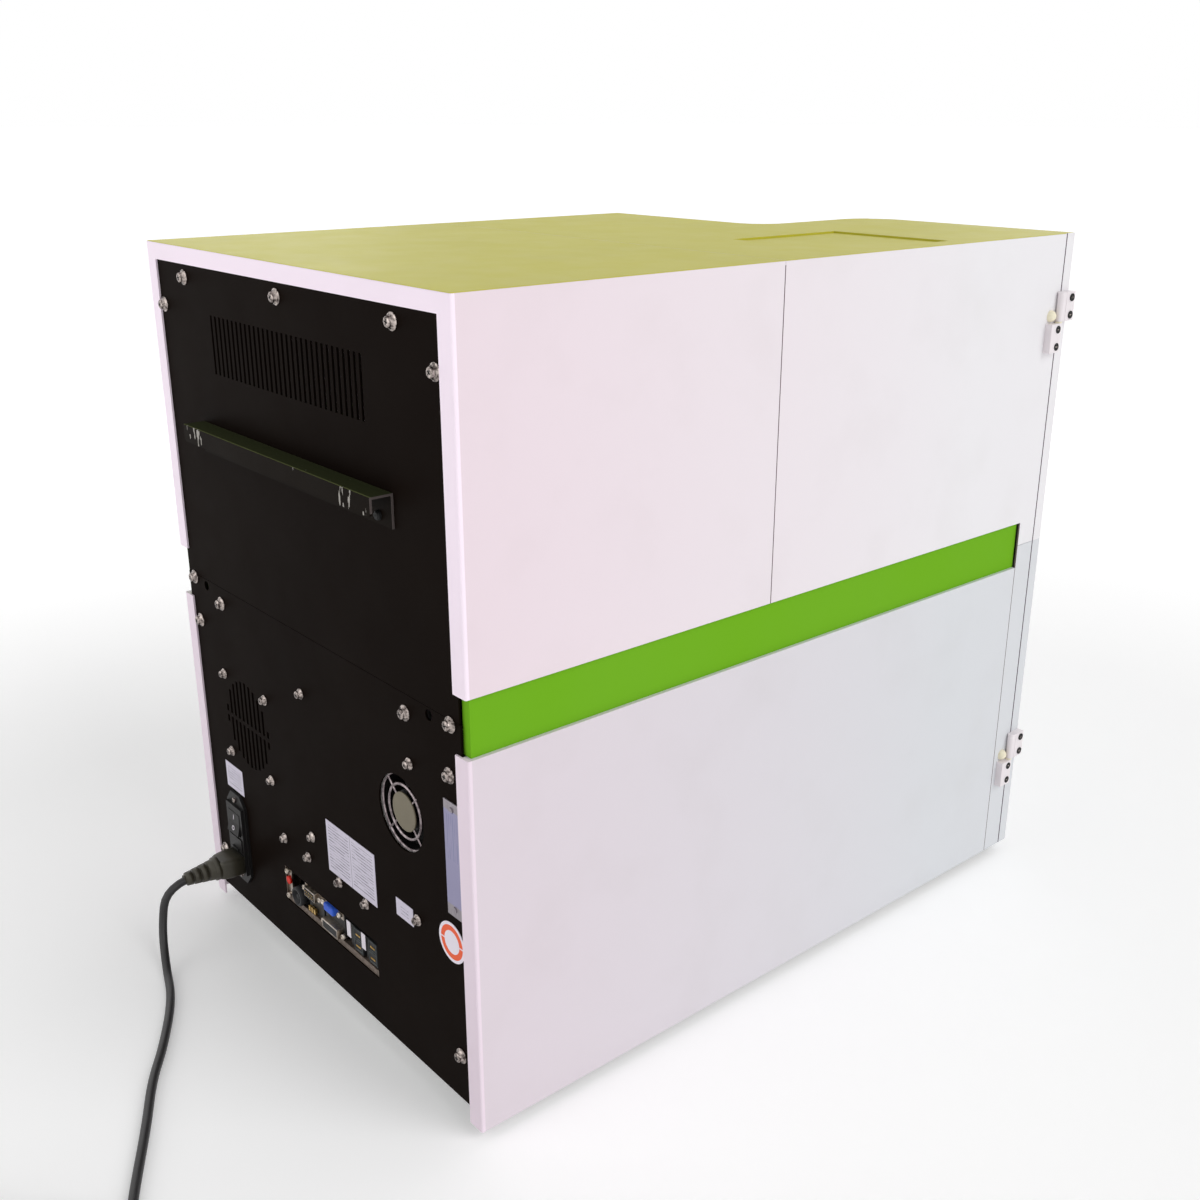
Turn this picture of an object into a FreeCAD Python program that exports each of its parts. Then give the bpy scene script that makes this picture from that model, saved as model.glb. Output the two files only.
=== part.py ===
import FreeCAD, Part
import math
import os
import Sketcher
from FreeCAD import Placement, Rotation, Vector

# A bench-top microplate counter. X is its width, Y its depth and Z its height.
# Its door faces -Y, its connector panels face +Y, and it stands on z = 0.

doc = FreeCAD.newDocument("MicroplateCounter")
sheet = doc.addObject("Spreadsheet::Sheet", "Sizes")


# Sizes

class Size:
    """A length with its value in millimetres and its formula on the sheet."""

    def __init__(self, value, text):
        self.value = float(value)
        self.text = text

    def __add__(self, other):
        other = as_size(other)
        return Size(self.value + other.value, f"({self.text} + {other.text})")

    def __radd__(self, other):
        return as_size(other) + self

    def __sub__(self, other):
        other = as_size(other)
        return Size(self.value - other.value, f"({self.text} - {other.text})")

    def __rsub__(self, other):
        return as_size(other) - self

    def __mul__(self, other):
        other = as_size(other)
        return Size(self.value * other.value, f"({self.text} * {other.text})")

    def __rmul__(self, other):
        return as_size(other) * self

    def __truediv__(self, other):
        other = as_size(other)
        return Size(self.value / other.value, f"({self.text} / {other.text})")

    def __neg__(self):
        return Size(-self.value, f"(-1 * {self.text})")


def as_size(number):
    return number if isinstance(number, Size) else Size(number, f"({float(number)!r})")


sheet_rows = []


def size(name, value):
    """Write one driving dimension, a number or a formula of earlier ones, on the sheet."""
    amount = as_size(value)
    sheet_rows.append(name)
    row = len(sheet_rows)
    sheet.set(f"A{row}", name)
    sheet.set(f"B{row}", "=" + amount.text.replace("Sizes.", ""))
    sheet.setAlias(f"B{row}", name)
    return Size(amount.value, f"Sizes.{name}")


# The case as a whole
case_width = size("case_width", 420.0)
case_height = size("case_height", 580.0)
rear_reach = size("rear_reach", 315.0)
front_reach = size("front_reach", 304.0)
door_depth = size("door_depth", 14.0)
door_gap = size("door_gap", 0.6)
skin = size("skin", 1.5)
seam_gap = size("seam_gap", 0.4)
hood_seam = size("hood_seam", 41.5)
band_low = size("band_low", 290.0)
band_high = size("band_high", 332.0)
band_inset = size("band_inset", 3.0)
pillar_depth = size("pillar_depth", 23.0)
hood_ear_drop = size("hood_ear_drop", 21.0)
sheet_bend = size("sheet_bend", 1.4)

# Rear flanges and panels
flange_width = size("flange_width", 14.5)
top_flange = size("top_flange", 13.0)
ledge_width = size("ledge_width", 8.0)
panel_split = size("panel_split", 311.5)
panel_foot = size("panel_foot", 13.0)
ear_width = size("ear_width", 5.0)

# Plate bay at the front right, wide enough for two columns of plates
plate_length = size("plate_length", 127.8)
plate_width = size("plate_width", 85.5)
column_pitch = size("column_pitch", 91.4)
bay_margin = size("bay_margin", 10.3)
bay_left = size("bay_left", case_width / 2 - column_pitch - plate_width - bay_margin * 2)
bay_depth = size("bay_depth", 150.0)
bay_inner_radius = size("bay_inner_radius", 30.0)
door_corner_radius = size("door_corner_radius", 40.0)

# Deck, base and feet
base_thickness = size("base_thickness", 3.0)
deck_thickness = size("deck_thickness", 6.0)
foot_rise = size("foot_rise", 8.0)
foot_radius = size("foot_radius", 19.0)
foot_inset_side = size("foot_inset_side", 55.0)
foot_inset_end = size("foot_inset_end", 60.0)
post_side = size("post_side", 20.0)

# Hinges of the door
leaf_height = size("leaf_height", 24.5)
leaf_thickness = size("leaf_thickness", 6.3)
leaf_reach = size("leaf_reach", 14.2)
hinge_setback = size("hinge_setback", 3.3)
hinge_pin_radius = size("hinge_pin_radius", 1.6)
hinge_clearance = size("hinge_clearance", 0.06)
upper_hinge_drop = size("upper_hinge_drop", 73.5)
lower_hinge_height = size("lower_hinge_height", 69.5)
knuckle_radius = size("knuckle_radius", 2.9)
hinge_washer = size("hinge_washer", 1.3)
hinge_screw_pitch = size("hinge_screw_pitch", 14.6)
buffer_radius = size("buffer_radius", 5.0)

# Rail, screws and vents
rail_length = size("rail_length", 274.0)
rail_drop = size("rail_drop", 131.0)
rail_proud = size("rail_proud", 17.0)
rail_flange = size("rail_flange", 23.5)
rail_lip = size("rail_lip", 13.0)
rear_pattern_x = size("rear_pattern_x", 2.0)
screw_radius = size("screw_radius", 2.0)
screw_clearance = size("screw_clearance", 0.25)
vent_pitch = size("vent_pitch", 6.86)
vent_width = size("vent_width", 3.0)
vent_drop = size("vent_drop", 90.5)
vent_height = size("vent_height", 43.5)
entry_neck = size("entry_neck", 26.0)
entry_body = size("entry_body", 64.0)
grille_pitch = size("grille_pitch", 7.2)
grille_slot = size("grille_slot", 3.4)
rail_corner = size("rail_corner", 4.0)
shank_length = size("shank_length", 8.0)
side_screw_inset = size("side_screw_inset", 20.6)
edge_screw_inset = size("edge_screw_inset", 24.0)
band_screw_inset = size("band_screw_inset", 71.5)
top_screw_inset = size("top_screw_inset", 63.0)
rail_screw_inset = size("rail_screw_inset", 16.0)
keyhole_inset = size("keyhole_inset", 44.0)
keyhole_radius = size("keyhole_radius", 4.0)
washer_thickness = size("washer_thickness", 0.8)
head_height = size("head_height", 2.6)
head_radius = size("head_radius", 3.8)
washer_radius = size("washer_radius", 4.4)
large_washer_radius = size("large_washer_radius", 5.8)
module_hole_x = size("module_hole_x", 76.0)
module_hole_z = size("module_hole_z", 61.5)
module_x = size("module_x", -61.0)
module_z = size("module_z", 199.0)
tray_hole_outer = size("tray_hole_outer", 64.0)
tray_hole_inner = size("tray_hole_inner", 24.5)
tray_hole_z = size("tray_hole_z", 115.0)

# Fans
large_fan_side = size("large_fan_side", 80.0)
large_fan_hole_pitch = size("large_fan_hole_pitch", 71.5)
large_fan_depth = size("large_fan_depth", 25.0)
large_fan_x = size("large_fan_x", 114.5)
large_fan_z = size("large_fan_z", 197.5)
small_fan_side = size("small_fan_side", 60.0)
small_fan_depth = size("small_fan_depth", 25.0)
small_fan_x = size("small_fan_x", -122.0)
small_fan_z = size("small_fan_z", 216.5)
blade_clearance = size("blade_clearance", 1.0)
fan_wall = size("fan_wall", 1.8)
strut_thickness = size("strut_thickness", 3.0)
fan_pin_radius = size("fan_pin_radius", 2.0)
blade_thickness = size("blade_thickness", 1.4)
large_hub = size("large_hub", 18.0)
small_hub = size("small_hub", 15.0)
guard_wire = size("guard_wire", 1.2)
small_fan_hole_pitch = size("small_fan_hole_pitch", 50.0)
case_wall = size("case_wall", 1.0)

# Power entry
entry_inset = size("entry_inset", 59.5)
entry_x = size("entry_x", case_width / 2 - entry_inset)
entry_z = size("entry_z", 78.5)
entry_width = size("entry_width", 33.0)
entry_height = size("entry_height", 85.0)
entry_plate = size("entry_plate", 2.5)
entry_proud = size("entry_proud", 5.0)
socket_width = size("socket_width", 24.6)
socket_height = size("socket_height", 16.4)
socket_depth = size("socket_depth", 17.0)
socket_drop = size("socket_drop", 22.0)
plug_clearance = size("plug_clearance", 0.3)
entry_depth = size("entry_depth", 34.0)
drawer_width = size("drawer_width", 22.0)
drawer_height = size("drawer_height", 12.0)
drawer_depth = size("drawer_depth", 28.0)
rocker_width = size("rocker_width", 20.0)
rocker_height = size("rocker_height", 21.0)
rocker_depth = size("rocker_depth", 12.0)
rocker_pivot = size("rocker_pivot", 5.5)
pin_length = size("pin_length", 13.0)
pin_thickness = size("pin_thickness", 2.0)
pin_width = size("pin_width", 4.0)
pin_pitch = size("pin_pitch", 14.0)

# Connector opening
port_left = size("port_left", -76.0)
port_right = size("port_right", 70.5)
port_low = size("port_low", 54.5)
port_high = size("port_high", 86.5)

# Conveyor and elevators
rod_radius = size("rod_radius", 5.0)
cross_rod_radius = size("cross_rod_radius", 4.0)
rod_clearance = size("rod_clearance", 0.05)
rod_inset = size("rod_inset", 22.0)
rod_spacing = size("rod_spacing", case_width - rod_inset * 2)
rod_lift = size("rod_lift", 8.0)
elevator_travel = size("elevator_travel", 60.0)

# Detectors
tube_radius = size("tube_radius", 15.0)
tube_pitch = size("tube_pitch", 80.0)
shield_length = size("shield_length", 160.0)
shield_side_gap = size("shield_side_gap", 22.0)
post_gap = size("post_gap", 0.5)
shield_room = bay_left + case_width / 2 - ledge_width - post_gap - post_side
shield_width = size("shield_width", shield_room - shield_side_gap * 2)
detector_x = size("detector_x", -90.0)
detector_setback = size("detector_setback", 138.0)

# Mains lead
lead_diameter = size("lead_diameter", 7.0)
insert_gap = size("insert_gap", 0.3)
overmould_length = size("overmould_length", 27.2)
overmould_width = size("overmould_width", 27.0)
overmould_height = size("overmould_height", 19.0)
boot_length = size("boot_length", 26.0)
boot_wide = size("boot_wide", 6.5)
boot_narrow = size("boot_narrow", 4.6)
lead_entry = size("lead_entry", 12.0)
coil_across = size("coil_across", 278.5)
coil_setback = size("coil_setback", 276.5)
coil_radius = size("coil_radius", 38.2)
coil_width = size("coil_width", 28.0)
coil_height = size("coil_height", 13.5)
plug_offset = size("plug_offset", 62.0)
plug_length = size("plug_length", 38.0)
plug_width = size("plug_width", 34.0)
plug_height = size("plug_height", 26.0)
plug_neck = size("plug_neck", 30.0)

# Lid in the top
lid_inset = size("lid_inset", 20.0)
lid_width = size("lid_width", 117.0)
lid_left = size("lid_left", lid_inset - case_width / 2)
lid_right = size("lid_right", lid_left + lid_width)
lid_front = size("lid_front", -168.0)
lid_rear = size("lid_rear", -46.0)

# Door
door_pan_margin = size("door_pan_margin", 5.0)
door_edge_radius = size("door_edge_radius", 3.0)

# Base, deck and frame
frame_thickness = size("frame_thickness", 2.0)
front_frame_setback = size("front_frame_setback", 10.7)
nest_slot_margin = size("nest_slot_margin", 3.0)
nest_slot_inset = size("nest_slot_inset", 22.5)
deck_gap = size("deck_gap", 0.3)
window_margin = size("window_margin", 2.0)
rear_post_setback = size("rear_post_setback", 20.0)
tube_play = size("tube_play", 0.4)
platform_width = size("platform_width", 76.0)
platform_length = size("platform_length", 116.0)
screw_inset = size("screw_inset", 50.0)
screw_x = size("screw_x", screw_inset - case_width / 2)
motor_side = size("motor_side", 35.0)
motor_length = size("motor_length", 34.0)
rod_rear = size("rod_rear", 262.0)

# Computer, supplies and their boards
module_depth = size("module_depth", 160.0)
tray_depth = size("tray_depth", 180.0)
board_low = size("board_low", 58.0)
board_thickness = size("board_thickness", 1.6)

# Conveyor along Y and X
beam_setback = size("beam_setback", 90.0)
beam_half = size("beam_half", 24.0)
rod_end_gap = size("rod_end_gap", 3.0)
side_block_width = size("side_block_width", 18.0)
side_block_gap = size("side_block_gap", 14.0)
side_block_outer = size("side_block_outer", case_width / 2 - side_block_gap)
side_block_inner = size("side_block_inner", side_block_outer - side_block_width)
cross_rod_height = size("cross_rod_height", 318.0)
cross_rod_offset = size("cross_rod_offset", 16.0)
screw_lift = size("screw_lift", 303.0)
lead_screw_radius = size("lead_screw_radius", 4.0)
carriage_x = size("carriage_x", -90.0)
nest_offset = size("nest_offset", 102.0)
nest_low = size("nest_low", 311.5)
nest_thickness = size("nest_thickness", 4.0)
nest_margin = size("nest_margin", 2.5)
plate_seat = size("plate_seat", 4.0)
pulley_radius = size("pulley_radius", 8.0)
pulley_offset = size("pulley_offset", 43.0)
belt_low = size("belt_low", 326.0)
belt_width = size("belt_width", 5.0)
belt_thickness = size("belt_thickness", 1.4)
belt_play = size("belt_play", 0.3)
small_motor_side = size("small_motor_side", 28.0)
drive_inset = size("drive_inset", 70.0)
idler_inset = size("idler_inset", 38.0)
drive_x = size("drive_x", drive_inset - case_width / 2)
idler_x = size("idler_x", case_width / 2 - idler_inset)

# Detectors above and below the deck
portal_low = size("portal_low", 335.0)
portal_thickness = size("portal_thickness", 6.0)
leg_thickness = size("leg_thickness", 1.5)
cap_thickness = size("cap_thickness", 3.0)

# Elevators and plate racks of the two columns
elevator_rod_offset = size("elevator_rod_offset", 36.0)
elevator_motor_side = size("elevator_motor_side", 42.0)
elevator_motor_height = size("elevator_motor_height", 40.0)
platform_rest = size("platform_rest", 294.0)
platform_thickness = size("platform_thickness", 5.0)
yoke_low = size("yoke_low", 180.0)
yoke_thickness = size("yoke_thickness", 8.0)
stem_radius = size("stem_radius", 12.0)
stem_bore = size("stem_bore", 7.0)
rack_post = size("rack_post", 12.0)
rack_sheet = size("rack_sheet", 2.0)
rack_base = size("rack_base", 5.0)
rack_drop = size("rack_drop", 20.0)
rack_play = size("rack_play", 0.75)

# Plates and blank labels on the rear
label_thickness = size("label_thickness", 0.3)
inlet_label_width = size("inlet_label_width", 31.4)
inlet_label_height = size("inlet_label_height", 24.0)
inlet_label_rise = size("inlet_label_rise", 56.5)
port_label_width = size("port_label_width", 71.2)
port_label_height = size("port_label_height", 44.7)
port_label_rise = size("port_label_rise", 55.45)
small_label_width = size("small_label_width", 22.5)
small_label_height = size("small_label_height", 14.5)
small_label_inset = size("small_label_inset", 90.25)
round_label_inset = size("round_label_inset", 30.0)
plate_wide = size("plate_wide", 17.5)
plate_tall = size("plate_tall", 87.5)
plate_inset = size("plate_inset", 23.25)
plate_thickness = size("plate_thickness", 0.8)
rivet_radius = size("rivet_radius", 2.2)
rivet_inset = size("rivet_inset", 6.0)
round_label_radius = size("round_label_radius", 15.5)

# Places worked out from the sizes
half_width = case_width / 2
bay_rear = front_reach + door_depth - bay_depth
vent_low = case_height - vent_drop
rail_height = case_height - rail_drop
upper_hinge_height = case_height - upper_hinge_drop
rack_top = case_height - rack_drop
detector_y = detector_setback - bay_rear
beam_y = detector_y + beam_setback
panel_face = rear_reach - skin
panel_back = panel_face - skin
deck_bottom = band_low
deck_top = band_low + deck_thickness
base_top = panel_foot + base_thickness
inside = half_width - skin


# Where the design's origin stands in the part's own frame
shift = (leaf_thickness / 2, (front_reach + door_depth - panel_face - rail_proud) / 2, foot_rise)


# Helpers for features and primitives

pieces = []


def bind(thing, path, amount):
    thing.setExpression(path, as_size(amount).text)


def put(thing, node):
    """Name a finished sub-part and stand it in the part's frame."""
    thing.Label = node
    for axis, amount in zip("xyz", shift):
        bind(thing, f"Placement.Base.{axis}", amount)
    pieces.append(thing)
    return thing


def plane_of(body, role):
    return [feature for feature in body.Origin.OriginFeatures if feature.Role == role][0]


def inner_body():
    """A body that becomes one solid of a larger node."""
    return doc.addObject("PartDesign::Body", "Body")


def new_body(node):
    return put(inner_body(), node)


def sketch_on(body, role, height=0):
    """A sketch on a plane of the body. On XZ the height is measured along Y."""
    sketch = body.newObject("Sketcher::SketchObject", "Sketch")
    sketch.AttachmentSupport = [(plane_of(body, role), "")]
    sketch.MapMode = "FlatFace"
    height = as_size(height)
    offset = -height if role == "XZ_Plane" else height
    bind(sketch, "AttachmentOffset.Base.z", offset)
    return sketch


def hold(sketch, kind, *rest):
    """Add a dimension to a sketch and bind it to its formula."""
    amount = as_size(rest[-1])
    number = sketch.addConstraint(Sketcher.Constraint(kind, *rest[:-1], amount.value))
    bind(sketch, f"Constraints[{number}]", amount)


def hold_point(sketch, geometry, end, x, y):
    hold(sketch, "DistanceX", geometry, end, x)
    hold(sketch, "DistanceY", geometry, end, y)


def polygon(sketch, points):
    """A closed outline of straight sides through the points."""
    points = [(as_size(x), as_size(y)) for x, y in points]
    first = sketch.GeometryCount
    for start, end in zip(points, points[1:] + points[:1]):
        sketch.addGeometry(Part.LineSegment(
            Vector(start[0].value, start[1].value, 0), Vector(end[0].value, end[1].value, 0)), False)
    count = len(points)
    for index in range(count):
        after = first + (index + 1) % count
        sketch.addConstraint(Sketcher.Constraint("Coincident", first + index, 2, after, 1))
    for index, (x, y) in enumerate(points):
        hold_point(sketch, first + index, 1, x, y)


def rectangle(sketch, left, right, low, high):
    polygon(sketch, [(left, low), (right, low), (right, high), (left, high)])


def unit(amount):
    return (amount.value > 0) - (amount.value < 0)


def rounded(sketch, corners):
    """A closed outline of right-angled corners, each (x, y) or (x, y, radius)."""
    corners = [tuple(as_size(part) for part in corner) for corner in corners]
    count = len(corners)
    ends = []
    for index, corner in enumerate(corners):
        before, after = corners[index - 1], corners[(index + 1) % count]
        radius = corner[2] if len(corner) > 2 else as_size(0)
        back = [unit(before[axis] - corner[axis]) for axis in (0, 1)]
        ahead = [unit(after[axis] - corner[axis]) for axis in (0, 1)]
        arrive = [corner[axis] + back[axis] * radius for axis in (0, 1)]
        leave = [corner[axis] + ahead[axis] * radius for axis in (0, 1)]
        middle = [corner[axis] + (back[axis] + ahead[axis]) * radius for axis in (0, 1)]
        ends.append((arrive, leave, middle, radius, back, ahead))
    joints = []
    for index, (arrive, leave, middle, radius, back, ahead) in enumerate(ends):
        following = ends[(index + 1) % count][0]
        if radius.value:
            anticlockwise = back[0] * ahead[1] - back[1] * ahead[0] < 0
            start, finish = (arrive, leave) if anticlockwise else (leave, arrive)
            angles = [math.atan2(place[1].value - middle[1].value, place[0].value - middle[0].value)
                      for place in (start, finish)]
            whole = Part.Circle(Vector(middle[0].value, middle[1].value, 0), Vector(0, 0, 1), radius.value)
            arc = sketch.addGeometry(Part.ArcOfCircle(whole, *angles), False)
            hold(sketch, "Radius", arc, radius)
            joints.append((arc, 1, 2) if anticlockwise else (arc, 2, 1))
        line = sketch.addGeometry(Part.LineSegment(
            Vector(leave[0].value, leave[1].value, 0),
            Vector(following[0].value, following[1].value, 0)), False)
        hold_point(sketch, line, 1, *leave)
        hold_point(sketch, line, 2, *following)
        joints.append((line, 1, 2))
    for index, (geometry, start, _) in enumerate(joints):
        previous, _, finish = joints[index - 1]
        if "Line" in sketch.Geometry[geometry].TypeId and "Line" in sketch.Geometry[previous].TypeId:
            continue
        sketch.addConstraint(Sketcher.Constraint("Coincident", previous, finish, geometry, start))


def circle(sketch, x, y, radius):
    x, y, radius = as_size(x), as_size(y), as_size(radius)
    number = sketch.addGeometry(
        Part.Circle(Vector(x.value, y.value, 0), Vector(0, 0, 1), radius.value), False)
    hold_point(sketch, number, 3, x, y)
    hold(sketch, "Radius", number, radius)


def pad(body, sketch, length, reverse=False):
    feature = body.newObject("PartDesign::Pad", "Pad")
    feature.Profile = sketch
    bind(feature, "Length", length)
    feature.Reversed = reverse
    sketch.Visibility = False
    return feature


def pocket(body, sketch, length):
    """Cut a sketch through the material on both sides of its plane."""
    feature = body.newObject("PartDesign::Pocket", "Pocket")
    feature.Profile = sketch
    feature.SideType = "Symmetric"
    bind(feature, "Length", length)
    return feature


def fillet(body, radius, belongs):
    """Round the edges of the body's last feature whose middle passes the test."""
    doc.recompute()
    tip = body.Tip
    names = []
    for number, edge in enumerate(tip.Shape.Edges, 1):
        middle = edge.valueAt((edge.FirstParameter + edge.LastParameter) / 2)
        if belongs(edge, middle):
            names.append(f"Edge{number}")
    feature = body.newObject("PartDesign::Fillet", "Fillet")
    feature.Base = (tip, names)
    bind(feature, "Radius", radius)
    return feature


def along(edge, axis):
    """Whether a straight edge runs along X, Y or Z (0, 1 or 2)."""
    if edge.Curve.TypeId != "Part::GeomLine":
        return False
    return abs(abs(edge.Curve.Direction[axis]) - 1) < 1e-6


def near(first, second):
    return abs(first - as_size(second).value) < 0.01


def block(x, y, z, name="Block"):
    """A box between two bounds on each axis."""
    box = doc.addObject("Part::Box", name)
    for side, axis, (low, high) in (("Length", "x", x), ("Width", "y", y), ("Height", "z", z)):
        bind(box, side, as_size(high) - low)
        bind(box, f"Placement.Base.{axis}", low)
    return box


TURNS = {
    "x": Rotation(Vector(0, 1, 0), 90),
    "y": Rotation(Vector(1, 0, 0), -90),
    "z": Rotation(),
}


def rod(axis, centre, radius, bounds, far_radius=None):
    """A round bar, or a taper, along an axis between two bounds of that axis."""
    kind = "Part::Cylinder" if far_radius is None else "Part::Cone"
    bar = doc.addObject(kind, "Rod")
    if far_radius is None:
        bind(bar, "Radius", radius)
    else:
        bind(bar, "Radius1", radius)
        bind(bar, "Radius2", far_radius)
    low, high = bounds
    bind(bar, "Height", as_size(high) - low)
    bar.Placement = Placement(Vector(), TURNS[axis])
    across = [name for name in "xyz" if name != axis]
    bind(bar, f"Placement.Base.{axis}", low)
    for name, amount in zip(across, centre):
        bind(bar, f"Placement.Base.{name}", amount)
    return bar


def group(parts):
    compound = doc.addObject("Part::Compound", "Group")
    compound.Links = list(parts)
    return compound


def cut(base, *tools):
    feature = doc.addObject("Part::Cut", "Cut")
    feature.Base = base
    feature.Tool = tools[0] if len(tools) == 1 else group(tools)
    return feature


def fuse(*parts):
    feature = doc.addObject("Part::MultiFuse", "Join")
    feature.Shapes = list(parts)
    return feature


def node(name, *parts):
    """A sub-part made of one solid, or of several that are alike."""
    return put(group(parts), name)


# Case of folded sheet

def side_panel(name, side, front):
    """A lower side wall with its rear flange and its top ledge."""
    body = new_body(name)
    outer = side * half_width
    wall = side * inside
    section = sketch_on(body, "XY_Plane")
    polygon(section, [
        (outer, front), (outer, rear_reach), (side * (half_width - flange_width), rear_reach),
        (side * (half_width - flange_width), rear_reach - skin), (wall, rear_reach - skin),
        (wall, front)])
    pad(body, section, band_low)
    ledge = sketch_on(body, "XY_Plane", band_low - skin)
    edges = sorted((wall, side * (half_width - ledge_width)), key=lambda amount: amount.value)
    rectangle(ledge, edges[0], edges[1], front, rear_reach - skin)
    pad(body, ledge, skin)
    fillet(body, sheet_bend, lambda edge, middle: along(edge, 2)
           and near(middle.x, outer) and near(middle.y, rear_reach))
    return body


pillar_rear = -front_reach + pillar_depth
side_panel("side_panel_left", -1, pillar_rear + seam_gap)
side_panel("side_panel_right", 1, -front_reach)


def front_pillar():
    """The strip of frame that shows between the left side panel and the door."""
    body = new_body("front_pillar")
    section = sketch_on(body, "XY_Plane")
    polygon(section, [
        (-half_width, -front_reach), (-half_width, pillar_rear), (-inside, pillar_rear),
        (-inside, -front_reach + skin), (-half_width + flange_width, -front_reach + skin),
        (-half_width + flange_width, -front_reach)])
    pad(body, section, band_high - hood_ear_drop - seam_gap)


def hood_rear():
    """The rear hood: top and two sides with a flange round the rear panel."""
    body = new_body("hood_rear")
    arch = sketch_on(body, "XZ_Plane", rear_reach)
    polygon(arch, [
        (-half_width, band_high), (-half_width, case_height), (half_width, case_height),
        (half_width, band_high), (inside, band_high), (inside, case_height - skin),
        (-inside, case_height - skin), (-inside, band_high)])
    pad(body, arch, rear_reach - hood_seam)
    frame = sketch_on(body, "XZ_Plane", rear_reach)
    inner = half_width - flange_width
    polygon(frame, [
        (-inside, band_high), (-inside, case_height - skin), (inside, case_height - skin),
        (inside, band_high), (inner, band_high), (inner, case_height - top_flange),
        (-inner, case_height - top_flange), (-inner, band_high)])
    pad(body, frame, skin)
    fillet(body, sheet_bend, lambda edge, middle:
           (along(edge, 1) and near(abs(middle.x), half_width) and near(middle.z, case_height))
           or (near(middle.y, rear_reach) and not along(edge, 1)
               and (near(abs(middle.x), half_width) or near(middle.z, case_height))))


door_front = -front_reach - door_depth


def hood_front():
    """The front hood: an L-shaped top round the bay and the side walls under it."""
    body = new_body("hood_front")
    rear = hood_seam - seam_gap
    top = sketch_on(body, "XY_Plane", case_height - skin)
    rounded(top, [
        (-half_width, door_front), (-half_width, rear), (half_width, rear),
        (half_width, -bay_rear), (bay_left, -bay_rear, bay_inner_radius),
        (bay_left, door_front, door_corner_radius)])
    pad(body, top, skin)
    trim = sketch_on(body, "XY_Plane", case_height)
    rectangle(trim, -case_width, case_width, door_front - skin, -front_reach)
    pocket(body, trim, skin * 4)
    lid_hole = sketch_on(body, "XY_Plane", case_height)
    rectangle(lid_hole, lid_left, lid_right, lid_front, lid_rear)
    pocket(body, lid_hole, skin * 4)
    left = sketch_on(body, "YZ_Plane", -half_width)
    ear = band_high - hood_ear_drop
    polygon(left, [
        (-front_reach, ear), (pillar_rear, ear), (pillar_rear, band_high), (rear, band_high),
        (rear, case_height - skin), (-front_reach, case_height - skin)])
    pad(body, left, skin)
    right = sketch_on(body, "YZ_Plane", inside)
    rectangle(right, -bay_rear, rear, band_high, case_height - skin)
    pad(body, right, skin)
    fillet(body, sheet_bend, lambda edge, middle: along(edge, 1)
           and near(abs(middle.x), half_width) and near(middle.z, case_height))


def bay_wall():
    """The bent sheet that closes the hood towards the bay."""
    body = new_body("bay_wall")
    low = band_high + skin
    band = sketch_on(body, "XY_Plane", low)
    inner = bay_left - skin
    left = bay_left - door_corner_radius * 1.5
    rounded(band, [
        (left, door_front), (bay_left, door_front, door_corner_radius),
        (bay_left, -bay_rear, bay_inner_radius), (inside, -bay_rear), (inside, skin - bay_rear),
        (inner, skin - bay_rear, bay_inner_radius + skin),
        (inner, door_front + skin, door_corner_radius - skin), (left, door_front + skin)])
    pad(body, band, case_height - skin - low)
    trim = sketch_on(body, "XY_Plane", case_height)
    rectangle(trim, -case_width, case_width, door_front - skin, -front_reach)
    pocket(body, trim, case_height * 2)


def top_lid():
    """The service lid, let in by the thickness of the hood's sheet."""
    body = new_body("top_lid")
    plate = sketch_on(body, "XY_Plane", case_height - skin * 2)
    margin = flange_width / 2
    rectangle(plate, lid_left - margin, lid_right + margin, lid_front - margin, lid_rear + margin)
    pad(body, plate, skin)


front_pillar()
hood_rear()
hood_front()
bay_wall()
top_lid()


def trim_band(side):
    """One half of the coloured band between the hoods and the lower panels."""
    body = inner_body()
    outer = side * (half_width - band_inset)
    wall = side * (half_width - band_inset - skin)
    wrap = side * (half_width - band_inset - ledge_width)
    rear = rear_reach - band_inset - skin
    front = pillar_rear + seam_gap if side < 0 else as_size(-front_reach)
    section = sketch_on(body, "XY_Plane", band_low)
    polygon(section, [
        (outer, front), (outer, rear), (wrap, rear), (wrap, rear - skin), (wall, rear - skin),
        (wall, front)])
    pad(body, section, band_high - band_low)
    return body


node("trim_bands", trim_band(-1), trim_band(1))


def front_panel_right():
    """The closed front below the bay, folded like a shallow tray."""
    body = new_body("front_panel_right")
    face = sketch_on(body, "XZ_Plane", -front_reach)
    rectangle(face, bay_left + seam_gap, half_width, 0, band_high)
    pad(body, face, door_depth)
    hollow = sketch_on(body, "XZ_Plane", -front_reach)
    rectangle(hollow, bay_left + seam_gap + skin, inside, skin, band_high - skin)
    pocket(body, hollow, (door_depth - skin) * 2)
    fillet(body, sheet_bend, lambda edge, middle: near(middle.y, door_front))


def bay_floor():
    """The floor of the bay, with a window for each column of plates."""
    body = new_body("bay_floor")
    floor = sketch_on(body, "XY_Plane", band_high)
    rectangle(floor, bay_left + seam_gap, half_width, door_front, -bay_rear)
    pad(body, floor, skin)
    for x in column_x:
        window = sketch_on(body, "XY_Plane", band_high)
        rectangle(window, x - plate_width / 2 - 1, x + plate_width / 2 + 1,
                  column_y - plate_length / 2 - 1, column_y + plate_length / 2 + 1)
        pocket(body, window, skin * 4)


column_y = -(bay_rear + front_reach + door_depth) / 2 - 2
column_centre = (bay_left + half_width) / 2 + 0.75
column_x = (column_centre - column_pitch / 2, column_centre + column_pitch / 2)

front_panel_right()
bay_floor()

# Door

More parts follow.
